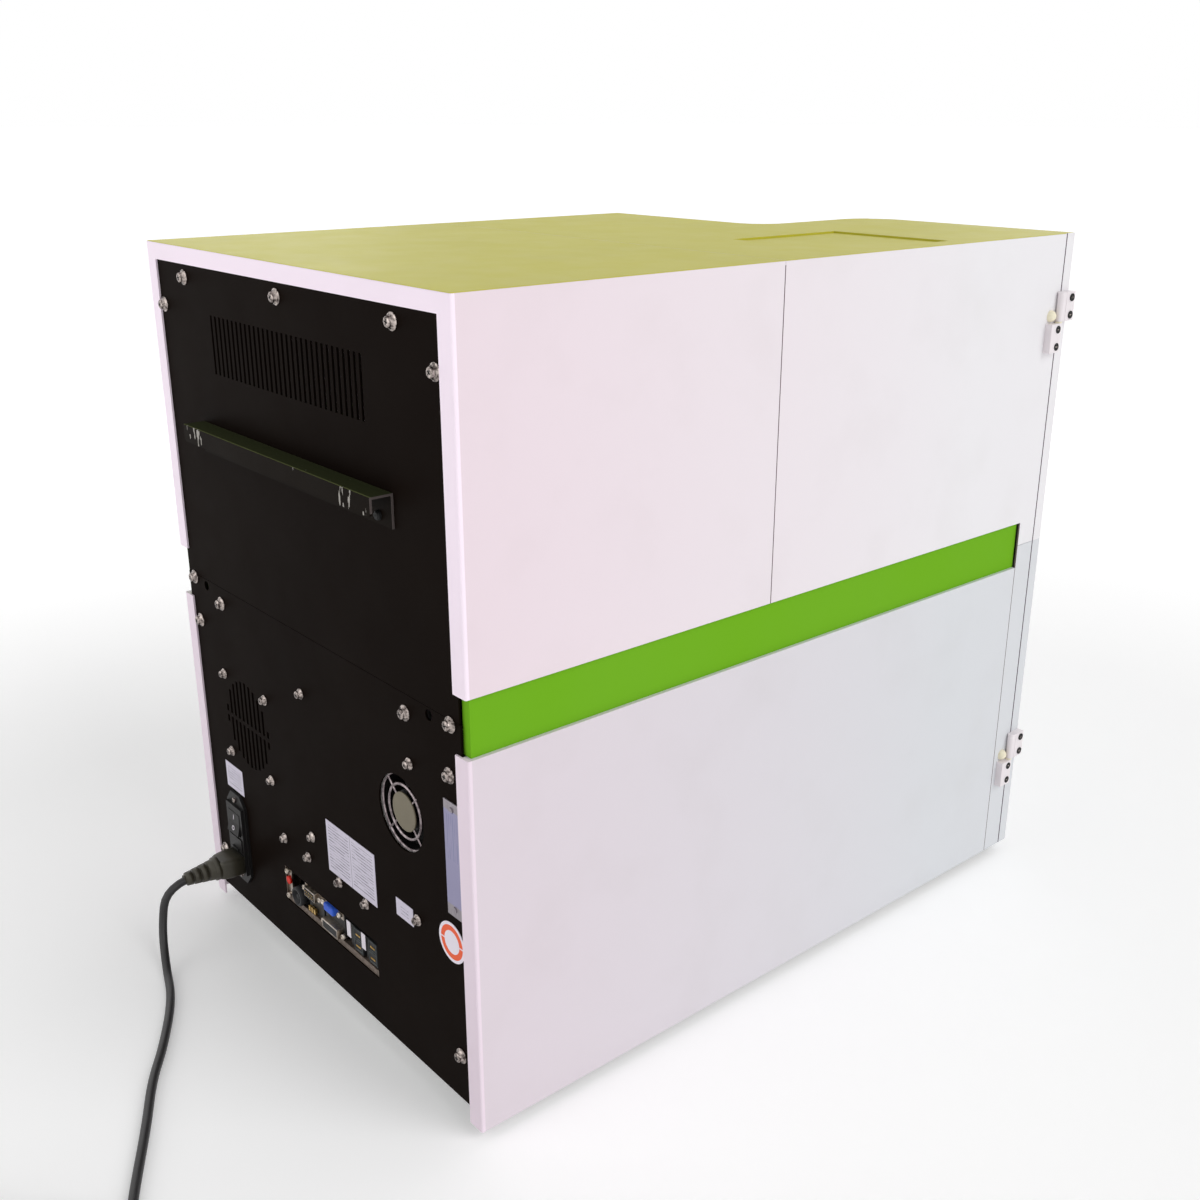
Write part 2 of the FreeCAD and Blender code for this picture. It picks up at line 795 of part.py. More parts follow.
def rounded_sheet(body, thickness_from):
    """The door's outline in plan, with its outer right corner rounded."""
    outline = sketch_on(body, "XY_Plane")
    rear = -front_reach + door_corner_radius
    rounded(outline, [
        (-half_width, door_front), (-half_width, rear), (bay_left, rear),
        (bay_left, door_front, door_corner_radius)])
    pad(body, outline, case_height)
    trim = sketch_on(body, "XY_Plane", case_height)
    rectangle(trim, -case_width, case_width, thickness_from, case_width)
    pocket(body, trim, case_height * 3)


door_back = -front_reach - door_gap
door_pan_width = inside + bay_left - door_corner_radius - door_pan_margin


def door_panel():
    """The door's outer skin, hollow behind so that the pan fits in it."""
    body = new_body("door_panel")
    rounded_sheet(body, door_back)
    hollow = sketch_on(body, "XZ_Plane", door_back)
    left = -inside
    rectangle(hollow, left, left + door_pan_width, skin, case_height - skin)
    pocket(body, hollow, (door_depth - door_gap - skin) * 2)
    fillet(body, door_edge_radius, lambda edge, middle: near(middle.y, door_front)
           and middle.x < 0)


def door_pan():
    """The stiffening pan that is glued into the door's hollow."""
    body = new_body("door_pan")
    play = as_size(0.2)
    deep = door_front + skin
    blank = sketch_on(body, "XZ_Plane", door_back - skin)
    left = -inside + play
    right = -inside + door_pan_width - play
    rectangle(blank, left, right, skin + play, case_height - skin - play)
    pad(body, blank, door_back - skin - deep - play)
    hollow = sketch_on(body, "XZ_Plane", door_back - skin)
    rectangle(hollow, left + skin, right - skin, skin * 2 + play, case_height - skin * 2 - play)
    pocket(body, hollow, (door_back - skin - deep - play - skin) * 2)


door_panel()
door_pan()


# Base, deck and frame

def base_plate():
    body = new_body("base_plate")
    plate = sketch_on(body, "XY_Plane", panel_foot)
    rectangle(plate, -inside, inside, skin - front_reach, panel_back)
    pad(body, plate, base_thickness)


def feet():
    parts = []
    for x in (foot_inset_side - half_width, half_width - foot_inset_side):
        for y in (foot_inset_end - front_reach, rear_reach - foot_inset_end):
            parts.append(rod("z", (x, y), foot_radius - 3, (-foot_rise, panel_foot), foot_radius))
    node("feet", *parts)


def mid_deck():
    """The deck that carries the conveyor, with windows for detectors and elevators."""
    body = new_body("mid_deck")
    side = half_width - band_inset - skin
    plate = sketch_on(body, "XY_Plane", deck_bottom)
    rectangle(plate, -side, side, frame_back + deck_gap, panel_face - shank_length - deck_gap)
    pad(body, plate, deck_thickness)
    windows = sketch_on(body, "XY_Plane", deck_bottom)
    for y in tube_y:
        circle(windows, detector_x, y, tube_radius + tube_play)
    for x in column_x:
        half_x, half_y = platform_width / 2 + window_margin, platform_length / 2 + window_margin
        rectangle(windows, x - half_x, x + half_x, column_y - half_y, column_y + half_y)
    rectangle(windows, screw_x - motor_side / 2 - 1, screw_x + motor_side / 2 + 1,
              rod_rear + 1, rod_rear + motor_length + 3)
    pocket(body, windows, deck_thickness * 4)


def frame_posts():
    parts = []
    reach = half_width - ledge_width - post_side - post_gap
    behind_window = column_y + platform_length / 2 + window_margin * 2
    for side, front in ((-1, frame_back + deck_gap), (1, behind_window)):
        low, high = sorted((side * reach, side * (reach + post_side)), key=lambda amount: amount.value)
        for y in (front, -post_side / 2, panel_back - post_side - rear_post_setback):
            parts.append(block((low, high), (y, y + post_side), (base_top, deck_bottom)))
    node("frame_posts", *parts)


def front_frame():
    """The inner front with a service window above and one below the deck."""
    body = new_body("front_frame")
    right = bay_left - front_frame_setback
    back = skin - front_reach
    plate = sketch_on(body, "XZ_Plane", back + frame_thickness)
    polygon(plate, [
        (-inside, base_top), (bay_left + door_depth, base_top), (bay_left + door_depth, band_low - skin),
        (right, band_low - skin), (right, case_height - skin), (-inside, case_height - skin)])
    pad(body, plate, frame_thickness)
    windows = sketch_on(body, "XZ_Plane", back)
    for low, high in ((band_high + 8, case_height - 30), (base_top + 24, band_low - 20)):
        rectangle(windows, -inside + 28, right - 28, low, high)
    pocket(body, windows, frame_thickness * 4)
    notch = sketch_on(body, "XZ_Plane", back)
    rectangle(notch, -half_width, -half_width + band_inset + skin, band_low - skin, band_high)
    rectangle(notch, nest_slot_inset - half_width, bay_left, nest_low - nest_slot_margin,
              nest_low + nest_thickness + nest_slot_margin)
    pocket(body, notch, frame_thickness * 4)


def latch_magnets():
    parts = []
    for z in (case_height * 0.3, case_height * 0.8):
        parts.append(block((bay_left - 32, bay_left - 20), (-front_reach - 0.1, skin - front_reach),
                           (z, z + 30)))
    node("latch_magnets", *parts)


frame_back = -front_reach + skin + frame_thickness
tube_y = (detector_y - tube_pitch / 2, detector_y + tube_pitch / 2)

base_plate()
feet()
mid_deck()
frame_posts()
front_frame()
latch_magnets()


# Black rear panels, their screws and the rail

def rear_panel_lower():
    body = new_body("rear_panel_lower")
    half = half_width - flange_width + ear_width
    plate = sketch_on(body, "XZ_Plane", panel_face)
    rectangle(plate, -half, half, panel_foot, panel_split)
    pad(body, plate, skin)
    openings = sketch_on(body, "XZ_Plane", panel_face)
    rectangle(openings, port_left, port_right, port_low, port_high)
    rectangle(openings, entry_x - entry_neck / 2 - plug_clearance, entry_x + entry_neck / 2 + plug_clearance,
              entry_z - entry_body / 2 - plug_clearance, entry_z + entry_body / 2 + plug_clearance)
    circle(openings, small_fan_x, small_fan_z, small_fan_side / 2 - 1.2)
    for x, z in keyholes:
        circle(openings, x, z, keyhole_radius)
    for x, z in screws_lower:
        circle(openings, x, z, screw_radius + screw_clearance)
    pocket(body, openings, skin * 4)
    reach = large_fan_side / 2 - 1.5
    for step in range(-5, 6):
        grille = sketch_on(body, "XZ_Plane", panel_face)
        offset = step * grille_pitch
        half_slot = (reach.value ** 2 - (abs(offset.value) + grille_slot.value / 2) ** 2) ** 0.5
        share = half_slot / reach.value
        for sign in (-1, 1):
            ends = sorted((sign * grille_slot / 2, sign * reach * share), key=lambda amount: amount.value)
            rectangle(grille, large_fan_x + offset - grille_slot / 2,
                      large_fan_x + offset + grille_slot / 2,
                      large_fan_z + ends[0], large_fan_z + ends[1])
        pocket(body, grille, skin * 4)


def rear_panel_upper():
    body = new_body("rear_panel_upper")
    half = half_width - flange_width + ear_width - 1
    plate = sketch_on(body, "XZ_Plane", panel_face)
    rectangle(plate, -half, half, panel_split + seam_gap, case_height - skin * 2)
    pad(body, plate, skin)
    vents = sketch_on(body, "XZ_Plane", panel_face)
    x = rear_pattern_x - vent_pitch * ((vent_count - 1) / 2)
    rectangle(vents, x - vent_width / 2, x + vent_width / 2, vent_low, vent_low + vent_height)
    slot = pocket(body, vents, skin * 4)
    row = body.newObject("PartDesign::LinearPattern", "Row")
    row.Originals = [slot]
    row.Direction = (vents, ["H_Axis"])
    bind(row, "Length", vent_pitch * (vent_count - 1))
    row.Occurrences = vent_count
    body.Tip = row
    holes = sketch_on(body, "XZ_Plane", panel_face)
    for x, z in screws_upper + screws_rail:
        circle(holes, x, z, screw_radius + screw_clearance)
    pocket(body, holes, skin * 4)


def screw(x, z, face, head, washer, shank):
    """A screw along Y whose washer lies on a face towards +Y."""
    return fuse(
        rod("y", (x, z), washer, (face, face + washer_thickness)),
        rod("y", (x, z), head, (face + washer_thickness, face + washer_thickness + head_height), head * 0.8),
        rod("y", (x, z), screw_radius, (face - shank, face + washer_thickness)))


def rear_rail():
    """The hooked rail: a flange on the panel, a web, and a lip that hangs down."""
    body = new_body("rear_rail")
    left = rear_pattern_x - rail_length / 2
    profile = sketch_on(body, "YZ_Plane", left)
    face, reach = panel_face, panel_face + rail_proud
    polygon(profile, [
        (face, rail_height - rail_flange), (face, rail_height), (reach, rail_height),
        (reach, rail_height - rail_lip), (reach - skin, rail_height - rail_lip),
        (reach - skin, rail_height - skin), (face + skin, rail_height - skin),
        (face + skin, rail_height - rail_flange)])
    pad(body, profile, rail_length)
    holes = sketch_on(body, "XZ_Plane", face)
    for x, z in screws_rail:
        circle(holes, x, z, screw_radius + screw_clearance)
    pocket(body, holes, skin * 4)
    fillet(body, rail_corner, lambda edge, middle: along(edge, 1)
           and near(middle.z, rail_height - rail_lip))


vent_count = 32

half_pitch = large_fan_hole_pitch / 2
screws_fan = [(large_fan_x + i * half_pitch, large_fan_z + j * half_pitch) for i in (-1, 1) for j in (-1, 1)]
screws_module = [(module_x + i * module_hole_x, module_z + j * module_hole_z) for i in (-1, 1) for j in (-1, 1)]
screws_tray = [(x, tray_hole_z) for x in (-tray_hole_outer, -tray_hole_inner, tray_hole_inner, tray_hole_outer)]
screws_edge = [(side * (half_width - edge_screw_inset), z) for side in (-1, 1) for z in (panel_foot + 38, band_low - 19)]
band_screw_x = rear_pattern_x + 1.5
screws_band = [(band_screw_x + side * (half_width - band_screw_inset), band_low + 7.5) for side in (-1, 1)]
screws_top = [(rear_pattern_x + side * (half_width - top_screw_inset), case_height - 23) for side in (-1, 0, 1)]
screws_side = [(side * (half_width - side_screw_inset), case_height - 47) for side in (-1, 1)]
screws_split = [(side * (half_width - side_screw_inset), panel_split - 3) for side in (-1, 1)]
screws_rail = [(rear_pattern_x + side * (rail_length / 2 - rail_screw_inset), rail_height - rail_flange + 6) for side in (-1, 1)]
keyholes = [(rear_pattern_x + side * (half_width - keyhole_inset), panel_split - 5.5) for side in (-1, 1)]
screws_small = screws_fan + screws_module + screws_tray
screws_large = screws_edge + screws_band + screws_split
screws_lower = screws_small + screws_large
screws_upper = screws_top + screws_side

rear_panel_lower()
rear_panel_upper()
rear_rail()
fasteners = [screw(x, z, panel_face, head_radius, washer_radius, shank_length) for x, z in screws_small]
fasteners += [screw(x, z, panel_face, head_radius, large_washer_radius, shank_length)
              for x, z in screws_large + screws_upper]
fasteners += [screw(x, z, panel_face + skin, head_radius * 0.7, head_radius * 0.75, skin * 3)
              for x, z in screws_rail]


# Power entry

def power_entry():
    """The moulded module that holds the mains inlet, the fuses and the switch."""
    body = new_body("power_entry")
    left, right = entry_x - entry_width / 2, entry_x + entry_width / 2
    low, high = entry_z - entry_height / 2, entry_z + entry_height / 2
    taper = entry_width / 4
    shoulder = 10
    flange = sketch_on(body, "XZ_Plane", panel_face)
    polygon(flange, [
        (left + taper, low), (right - taper, low), (right, low + shoulder), (right, high - shoulder),
        (right - taper, high), (left + taper, high), (left, high - shoulder), (left, low + shoulder)])
    pad(body, flange, entry_plate, True)
    raised = sketch_on(body, "XZ_Plane", panel_face)
    rectangle(raised, entry_x - entry_neck / 2 - 1, entry_x + entry_neck / 2 + 1,
              entry_z - entry_body / 2, entry_z + entry_body / 2)
    pad(body, raised, entry_proud, True)
    neck = sketch_on(body, "XZ_Plane", panel_face)
    rectangle(neck, entry_x - entry_neck / 2, entry_x + entry_neck / 2,
              entry_z - entry_body / 2, entry_z + entry_body / 2)
    pad(body, neck, entry_depth)
    face = panel_face + entry_proud
    for centre, wide, tall, deep in (
            (socket_z, socket_width, socket_height, socket_depth),
            (drawer_z, drawer_width, drawer_height, drawer_depth),
            (rocker_z, rocker_width, rocker_height, rocker_depth)):
        play = plug_clearance
        recess = sketch_on(body, "XZ_Plane", face)
        rectangle(recess, entry_x - wide / 2 - play, entry_x + wide / 2 + play,
                  centre - tall / 2 - play, centre + tall / 2 + play)
        pocket(body, recess, deep * 2)
    floor = face - socket_depth
    blades = sketch_on(body, "XZ_Plane", floor)
    for x, z in pin_places:
        rectangle(blades, x - pin_thickness / 2, x + pin_thickness / 2, z - pin_width / 2, z + pin_width / 2)
    pad(body, blades, pin_length, True)


def fuse_drawer():
    face = panel_face + entry_proud
    floor = face - drawer_depth
    box = block((entry_x - drawer_width / 2, entry_x + drawer_width / 2), (floor, face + 0.8),
                (drawer_z - drawer_height / 2, drawer_z + drawer_height / 2))
    lip = block((entry_x - drawer_width / 4, entry_x + drawer_width / 4), (face + 0.8, face + 2.2),
                (drawer_z - drawer_height / 2, drawer_z - drawer_height / 2 + 2))
    node("fuse_drawer", fuse(box, lip))


def rocker_switch():
    """A rocker with two sloping faces, at rest with one end pressed in."""
    body = inner_body()
    face = panel_face + entry_proud
    profile = sketch_on(body, "YZ_Plane", entry_x - rocker_width / 2)
    half = rocker_height / 2 - 0.5
    tail = rocker_height / 4
    polygon(profile, [
        (face - rocker_depth + 3, rocker_z - tail), (face, rocker_z - half),
        (face + 1.6, rocker_z - half), (face + 0.5, rocker_z), (face + 1.6, rocker_z + half),
        (face, rocker_z + half), (face - rocker_depth + 3, rocker_z + tail)])
    pad(body, profile, rocker_width)
    pivot = Vector(0, (face - rocker_pivot).value, rocker_z.value)
    body.Placement = Placement(Vector(), Rotation(Vector(1, 0, 0), rocker_tilt), pivot)
    node("rocker_switch", body)


def entry_screws():
    for side in (-1, 1):
        z = entry_z + side * (entry_height / 2 - 6)
        fasteners.append(rod("y", (entry_x, z), head_radius * 0.8,
                             (panel_face + entry_plate, panel_face + entry_plate + 1.6), head_radius * 0.5))


rocker_tilt = 7.0
socket_z = entry_z - socket_drop
drawer_z = socket_z + socket_height / 2 + drawer_height / 2 + 3.8
rocker_z = drawer_z + drawer_height / 2 + rocker_height / 2 + 2.5
pin_places = [(entry_x - pin_pitch / 2, socket_z - 2), (entry_x + pin_pitch / 2, socket_z - 2),
              (entry_x, socket_z + 2)]

power_entry()
fuse_drawer()
rocker_switch()
entry_screws()


# Fans

def fan_frame(x, z, side, depth, rear, hub, hole_pitch):
    """A square fan housing whose far side carries the hub, its struts and its pin."""
    body = inner_body()
    square = sketch_on(body, "XZ_Plane", rear)
    rectangle(square, x - side / 2, x + side / 2, z - side / 2, z + side / 2)
    pad(body, square, depth)
    bore = sketch_on(body, "XZ_Plane", rear)
    circle(bore, x, z, side / 2 - fan_wall)
    pocket(body, bore, depth * 3)
    holes = sketch_on(body, "XZ_Plane", rear)
    for i in (-1, 1):
        for j in (-1, 1):
            circle(holes, x + i * hole_pitch / 2, z + j * hole_pitch / 2, screw_radius + screw_clearance)
    pocket(body, holes, depth * 3)
    front = rear - depth
    strut = sketch_on(body, "XZ_Plane", front)
    rectangle(strut, x - side / 2 + 1, x + side / 2 - 1, z - 2, z + 2)
    pad(body, strut, strut_thickness, True)
    strut = sketch_on(body, "XZ_Plane", front)
    rectangle(strut, x - 2, x + 2, z - side / 2 + 1, z + side / 2 - 1)
    pad(body, strut, strut_thickness, True)
    plate = sketch_on(body, "XZ_Plane", front)
    circle(plate, x, z, hub)
    pad(body, plate, strut_thickness, True)
    pin = sketch_on(body, "XZ_Plane", front)
    circle(pin, x, z, fan_pin_radius)
    pad(body, pin, depth * 0.7, True)
    return body


def fan_rotor(name, x, z, side, depth, rear, hub, blades):
    """A hub with pitched blades that runs on the housing's pin."""
    front = rear - depth + strut_thickness + 0.8
    back = rear - 2
    swept = side / 2 - fan_wall - blade_clearance
    core = cut(rod("y", (x, z), hub, (front, back)),
               rod("y", (x, z), fan_pin_radius + rod_clearance, (front - 1, rear - depth + depth * 0.7 + 0.6)))
    middle = (front + back) / 2
    parts = [core]
    chord = (back - front) * 0.85
    for step in range(blades):
        blade = doc.addObject("Part::Box", "Blade")
        bind(blade, "Length", swept - hub * 0.8)
        bind(blade, "Width", chord)
        bind(blade, "Height", blade_thickness)
        pitch = Placement(Vector(hub.value * 0.8, -chord.value / 2, -blade_thickness.value / 2), Rotation())
        pitched = Placement(Vector(), Rotation(Vector(1, 0, 0), 38)).multiply(pitch)
        turn = Rotation(Vector(0, 1, 0), 360.0 * step / blades)
        place = Placement(Vector(x.value, middle.value, z.value), turn)
        blade.Placement = place.multiply(pitched)
        parts.append(blade)
    node(name, fuse(*parts))


small_fan_rear = panel_back - case_wall - guard_wire * 2

node("fan_frames",
     fan_frame(large_fan_x, large_fan_z, large_fan_side, large_fan_depth, panel_back, large_hub,
               large_fan_hole_pitch),
     fan_frame(small_fan_x, small_fan_z, small_fan_side, small_fan_depth, small_fan_rear, small_hub,
               small_fan_hole_pitch))
fan_rotor("large_fan_rotor", large_fan_x, large_fan_z, large_fan_side, large_fan_depth, panel_back,
          large_hub, 7)
fan_rotor("small_fan_rotor", small_fan_x, small_fan_z, small_fan_side, small_fan_depth, small_fan_rear,
          small_hub, 7)


def fan_guard():
    """Two rings on four spokes, clamped between the small fan and its wall."""
    centre = small_fan_rear + guard_wire
    parts = []
    for radius in (small_fan_side / 2 - guard_wire, small_fan_side * 0.34):
        ring = doc.addObject("Part::Torus", "Ring")
        bind(ring, "Radius1", radius)
        bind(ring, "Radius2", guard_wire)
        ring.Placement = Placement(Vector(), Rotation(Vector(1, 0, 0), 90))
        for axis, amount in zip("xyz", (small_fan_x, centre, small_fan_z)):
            bind(ring, f"Placement.Base.{axis}", amount)
        parts.append(ring)
    reach = small_fan_side / 2 - guard_wire
    for tilt in (-45, 45):
        spoke = doc.addObject("Part::Cylinder", "Spoke")
        bind(spoke, "Radius", guard_wire * 0.75)
        bind(spoke, "Height", reach * 2)
        spoke.Placement = Placement(Vector(), Rotation(Vector(0, 1, 0), tilt))
        across, up = math.sin(math.radians(tilt)), math.cos(math.radians(tilt))
        bind(spoke, "Placement.Base.x", small_fan_x - reach * across)
        bind(spoke, "Placement.Base.y", centre)
        bind(spoke, "Placement.Base.z", small_fan_z - reach * up)
        parts.append(spoke)
    node("small_fan_guard", fuse(*parts))


fan_guard()


# Computer, supplies and their boards

def power_supply():
    """A sheet case on the rear panel that holds the small fan."""
    body = new_body("power_supply")
    half_x, half_z = module_hole_x + 20, module_hole_z + 9
    outline = sketch_on(body, "XZ_Plane", panel_back)
    rectangle(outline, module_x - half_x, module_x + half_x, module_z - half_z, module_z + half_z)
    pad(body, outline, module_depth)
    hollow = sketch_on(body, "XZ_Plane", panel_back - module_depth / 2)
    rectangle(hollow, module_x - half_x + case_wall, module_x + half_x - case_wall,
              module_z - half_z + case_wall, module_z + half_z - case_wall)
    pocket(body, hollow, module_depth - case_wall * 2)
    holes = sketch_on(body, "XZ_Plane", panel_back)
    circle(holes, small_fan_x, small_fan_z, small_fan_side / 2 - 1.2)
    for x, z in screws_module:
        circle(holes, x, z, screw_radius + screw_clearance)
    pocket(body, holes, case_wall * 4)
    mouth = sketch_on(body, "XZ_Plane", panel_back - module_depth)
    rectangle(mouth, module_x - half_x + 12, module_x + half_x - 12, module_z - half_z + 12,
              module_z + half_z - 12)
    pocket(body, mouth, case_wall * 4)


def io_tray():
    """The folded tray that carries the computer board behind its opening."""
    body = new_body("io_tray")
    left, right = port_left - 8, port_right + 8
    side = sketch_on(body, "YZ_Plane", left)
    back = panel_back - skin
    polygon(side, [
        (back - tray_depth, port_low - 4.5), (panel_back, port_low - 4.5), (panel_back, tray_hole_z + 7),
        (back, tray_hole_z + 7), (back, port_low - 3), (back - tray_depth, port_low - 3)])
    pad(body, side, right - left)
    opening = sketch_on(body, "XZ_Plane", panel_back)
    rectangle(opening, port_left, port_right, port_low + 1, port_high)
    for x, z in screws_tray:
        circle(opening, x, z, screw_radius + screw_clearance)
    pocket(body, opening, skin * 4)
    left_leg, right_leg = left + 6, right - 14
    legs = sketch_on(body, "XY_Plane", base_top)
    for x in (left_leg, right_leg):
        rectangle(legs, x, x + 8, back - tray_depth + 6, back - tray_depth + 14)
    pad(body, legs, port_low - 4.5 - base_top)


def computer_board():
    """The board on its spacers, with the sockets along its rear edge."""
    top = board_low + board_thickness
    back = panel_back - 2
    parts = [block((port_left + 1, port_right - 1), (panel_back - tray_depth + 8, panel_back - 6),
                   (board_low, top))]
    for x in (port_left + 8, port_right - 8):
        for y in (panel_back - tray_depth + 20, panel_back - 40):
            parts.append(rod("z", (x, y), 3, (port_low - 3, board_low)))
    parts.append(rod("y", (port_right - 23, top + 7), 8, (back - 14, back)))
    for left, right, deep, tall in (
            (port_right - 58, port_right - 34, 16, 20), (port_right - 92, port_right - 61, 14, 22),
            (port_left + 33, port_left + 46, 18, 20), (port_left + 8, port_left + 23, 18, 20)):
        parts.append(block((left, right), (back - deep, back), (top, top + tall)))
    return fuse(*parts)


def high_voltage_supply():
    node("high_voltage_supply", block((detector_x - 60, detector_x + 60), (detector_y - 70, detector_y + 70),
                                      (base_top, base_top + 60)))


def drive_board():
    """The motor driver board on its four spacers."""
    x, y = as_size(40), as_size(-20)
    parts = [block((x, x + 110), (y - 60, y + 60), (base_top + 8, base_top + 8 + board_thickness))]
    for i in (8, 102):
        for j in (-52, 52):
            parts.append(rod("z", (x + i, y + j), 3, (base_top, base_top + 8)))
    return fuse(*parts)


power_supply()
io_tray()
high_voltage_supply()


# Hinges

hinge_x = -half_width - leaf_thickness / 2
hinge_y = -front_reach + hinge_setback
hinge_heights = (upper_hinge_height, lower_hinge_height + leaf_height)
leaf_edges = (-half_width - leaf_thickness, -half_width)


def hinge_heads(y, middle):
    """The two screw heads of a leaf."""
    outer = -half_width - leaf_thickness
    return [rod("x", (y, middle + side * hinge_screw_pitch / 2), 2.3, (outer - 0.5, outer))
            for side in (-1, 1)]


def hinge_leaves_body():
    """Fixed leaves: a block on the side wall that ends in a knuckle."""
    parts = []
    for top in hinge_heights:
        span = (top - leaf_height, top)
        leaf = fuse(block(leaf_edges, (hinge_y + 0.6, hinge_y + leaf_reach), span),
                    rod("z", (hinge_x, hinge_y), knuckle_radius, span),
                    block((hinge_x - knuckle_radius, hinge_x + knuckle_radius), (hinge_y, hinge_y + 1), span))
        pin = rod("z", (hinge_x, hinge_y), hinge_pin_radius, (top - 1, top + hinge_washer + leaf_height - 4))
        parts.append(fuse(leaf, pin))
    node("hinge_leaves_body", *parts)


def hinge_leaves_door():
    """Leaves on the door that lift off the pins."""
    parts = []
    for top in hinge_heights:
        low = top + hinge_washer
        span = (low, low + leaf_height)
        leaf = fuse(block(leaf_edges, (door_front + 1, door_back), span),
                    rod("z", (hinge_x, hinge_y), knuckle_radius, span),
                    block((hinge_x - knuckle_radius, hinge_x + knuckle_radius), (door_back - 1, hinge_y), span))
        bore = rod("z", (hinge_x, hinge_y), hinge_pin_radius + hinge_clearance,
                   (low - 1, low + leaf_height - 3))
        heads = hinge_heads(door_front + 6, low + leaf_height / 2)
        parts.append(fuse(cut(leaf, bore), *heads))
    node("hinge_leaves_door", *parts)


def hinge_small_parts():
    """Nylon washers and door buffers of both hinges, and the screws of the fixed leaves."""
    nylon = []
    for top in hinge_heights:
        low = top + hinge_washer
        nylon.append(cut(rod("z", (hinge_x, hinge_y), knuckle_radius, (top, low - 0.1)),
                         rod("z", (hinge_x, hinge_y), hinge_pin_radius, (top - 1, low + 1))))
        dome_y = hinge_y + knuckle_radius + buffer_radius + 0.6
        dome = doc.addObject("Part::Sphere", "Dome")
        bind(dome, "Radius", buffer_radius)
        for axis, amount in zip("xyz", (-half_width, dome_y, top + 6)):
            bind(dome, f"Placement.Base.{axis}", amount)
        nylon.append(cut(dome, block((-half_width, half_width), (dome_y - 10, dome_y + 20), (top - 6, top + 20))))
        fasteners.extend(hinge_heads(hinge_y + 4.4, top - leaf_height / 2))
    node("hinge_buffers", *nylon)


hinge_leaves_body()
hinge_leaves_door()
hinge_small_parts()
node("panel_screws", *fasteners)


# Conveyor along Y and X

rod_front = column_y + platform_length / 2 + rod_end_gap
rod_height = deck_top + rod_lift
rod_x = rod_spacing / 2
slide_low = deck_top + 1.5
slide_high = cross_rod_height + 7
back_plate = (beam_y + beam_half + 2, beam_y + beam_half + 5)
pulley_y = beam_y + pulley_offset

long_rods = [rod("y", (side * rod_x, rod_height), rod_radius, (rod_front, rod_rear)) for side in (-1, 1)]


def rod_brackets():
    """Blocks on the deck that hold both ends of each long rod and of the screw."""
    parts = []
    for side in (-1, 1):
        for low in (rod_front, rod_rear - 14):
            support = block((side * rod_x - 8, side * rod_x + 8), (low, low + 14), (deck_top, rod_height + 6.5))
            parts.append(cut(support, rod("y", (side * rod_x, rod_height), rod_radius, (low - 1, low + 15))))
    for low in (rod_front, rod_rear - 12):
        support = block((screw_x - 9, screw_x + 9), (low, low + 10), (deck_top, screw_lift + 7))
        bore = rod("y", (screw_x, screw_lift), lead_screw_radius + rod_clearance, (low - 1, low + 11))
        parts.append(cut(support, bore))
    node("rod_brackets", *parts)


def y_motor():
    half = motor_side / 2
    box = block((screw_x - half, screw_x + half), (rod_rear + 2, rod_rear + 2 + motor_length),
                (screw_lift - half, screw_lift + half))
    hollow = rod("y", (screw_x, screw_lift), lead_screw_radius + 1, (rod_rear, rod_rear + 10))
    foot = block((screw_x - half, screw_x + half), (rod_rear - 1, rod_rear + 2), (deck_top, screw_lift + half))
    opening = rod("y", (screw_x, screw_lift), lead_screw_radius + 1, (rod_rear - 2, rod_rear + 3))
    return cut(fuse(box, foot), hollow, opening)


def cross_slide():
    """Two bearing blocks on the long rods, joined by a plate behind the cross rods."""
    low_y, high_y = beam_y - beam_half, beam_y + beam_half
    parts = []
    for side in (-1, 1):
        bounds = sorted((side * side_block_inner, side * side_block_outer), key=lambda amount: amount.value)
        parts.append(block(bounds, (low_y, back_plate[1]), (slide_low, slide_high)))
    parts.append(block((-side_block_outer, side_block_outer), back_plate, (cross_rod_height - 7, slide_high - 2)))
    parts.append(block((-side_block_inner, screw_x + 10), (low_y, high_y), (slide_low, screw_lift + 7)))
    idler = (idler_x - 6, idler_x + 9)
    parts.append(block(idler, (back_plate[0], pulley_y + 8), (belt_low - 6, belt_low - 3)))
    parts.append(rod("z", (idler_x, pulley_y), 2.5, (belt_low - 3, belt_low + belt_width + 1)))
    tools = []
    for side in (-1, 1):
        tools.append(rod("y", (side * rod_x, rod_height), rod_radius + rod_clearance,
                         (low_y - 1, back_plate[1] + 1)))
    tools.append(rod("y", (screw_x, screw_lift), lead_screw_radius + rod_clearance, (low_y - 1, high_y + 1)))
    rods = [rod("x", (beam_y + side * cross_rod_offset, cross_rod_height), cross_rod_radius,
                (4 - side_block_outer, side_block_outer - 4)) for side in (-1, 1)]
    node("cross_slide", fuse(cut(fuse(*parts), *tools), *rods))


def x_motor():
    half = small_motor_side / 2
    centre = back_plate[1] + half
    box = block((drive_x - half, drive_x + half), (back_plate[1], back_plate[1] + small_motor_side),
                (slide_low, slide_high - 2))
    shaft = rod("z", (drive_x, pulley_y), 2.0, (slide_high - 2, belt_low))
    node("x_motor", fuse(box, shaft))


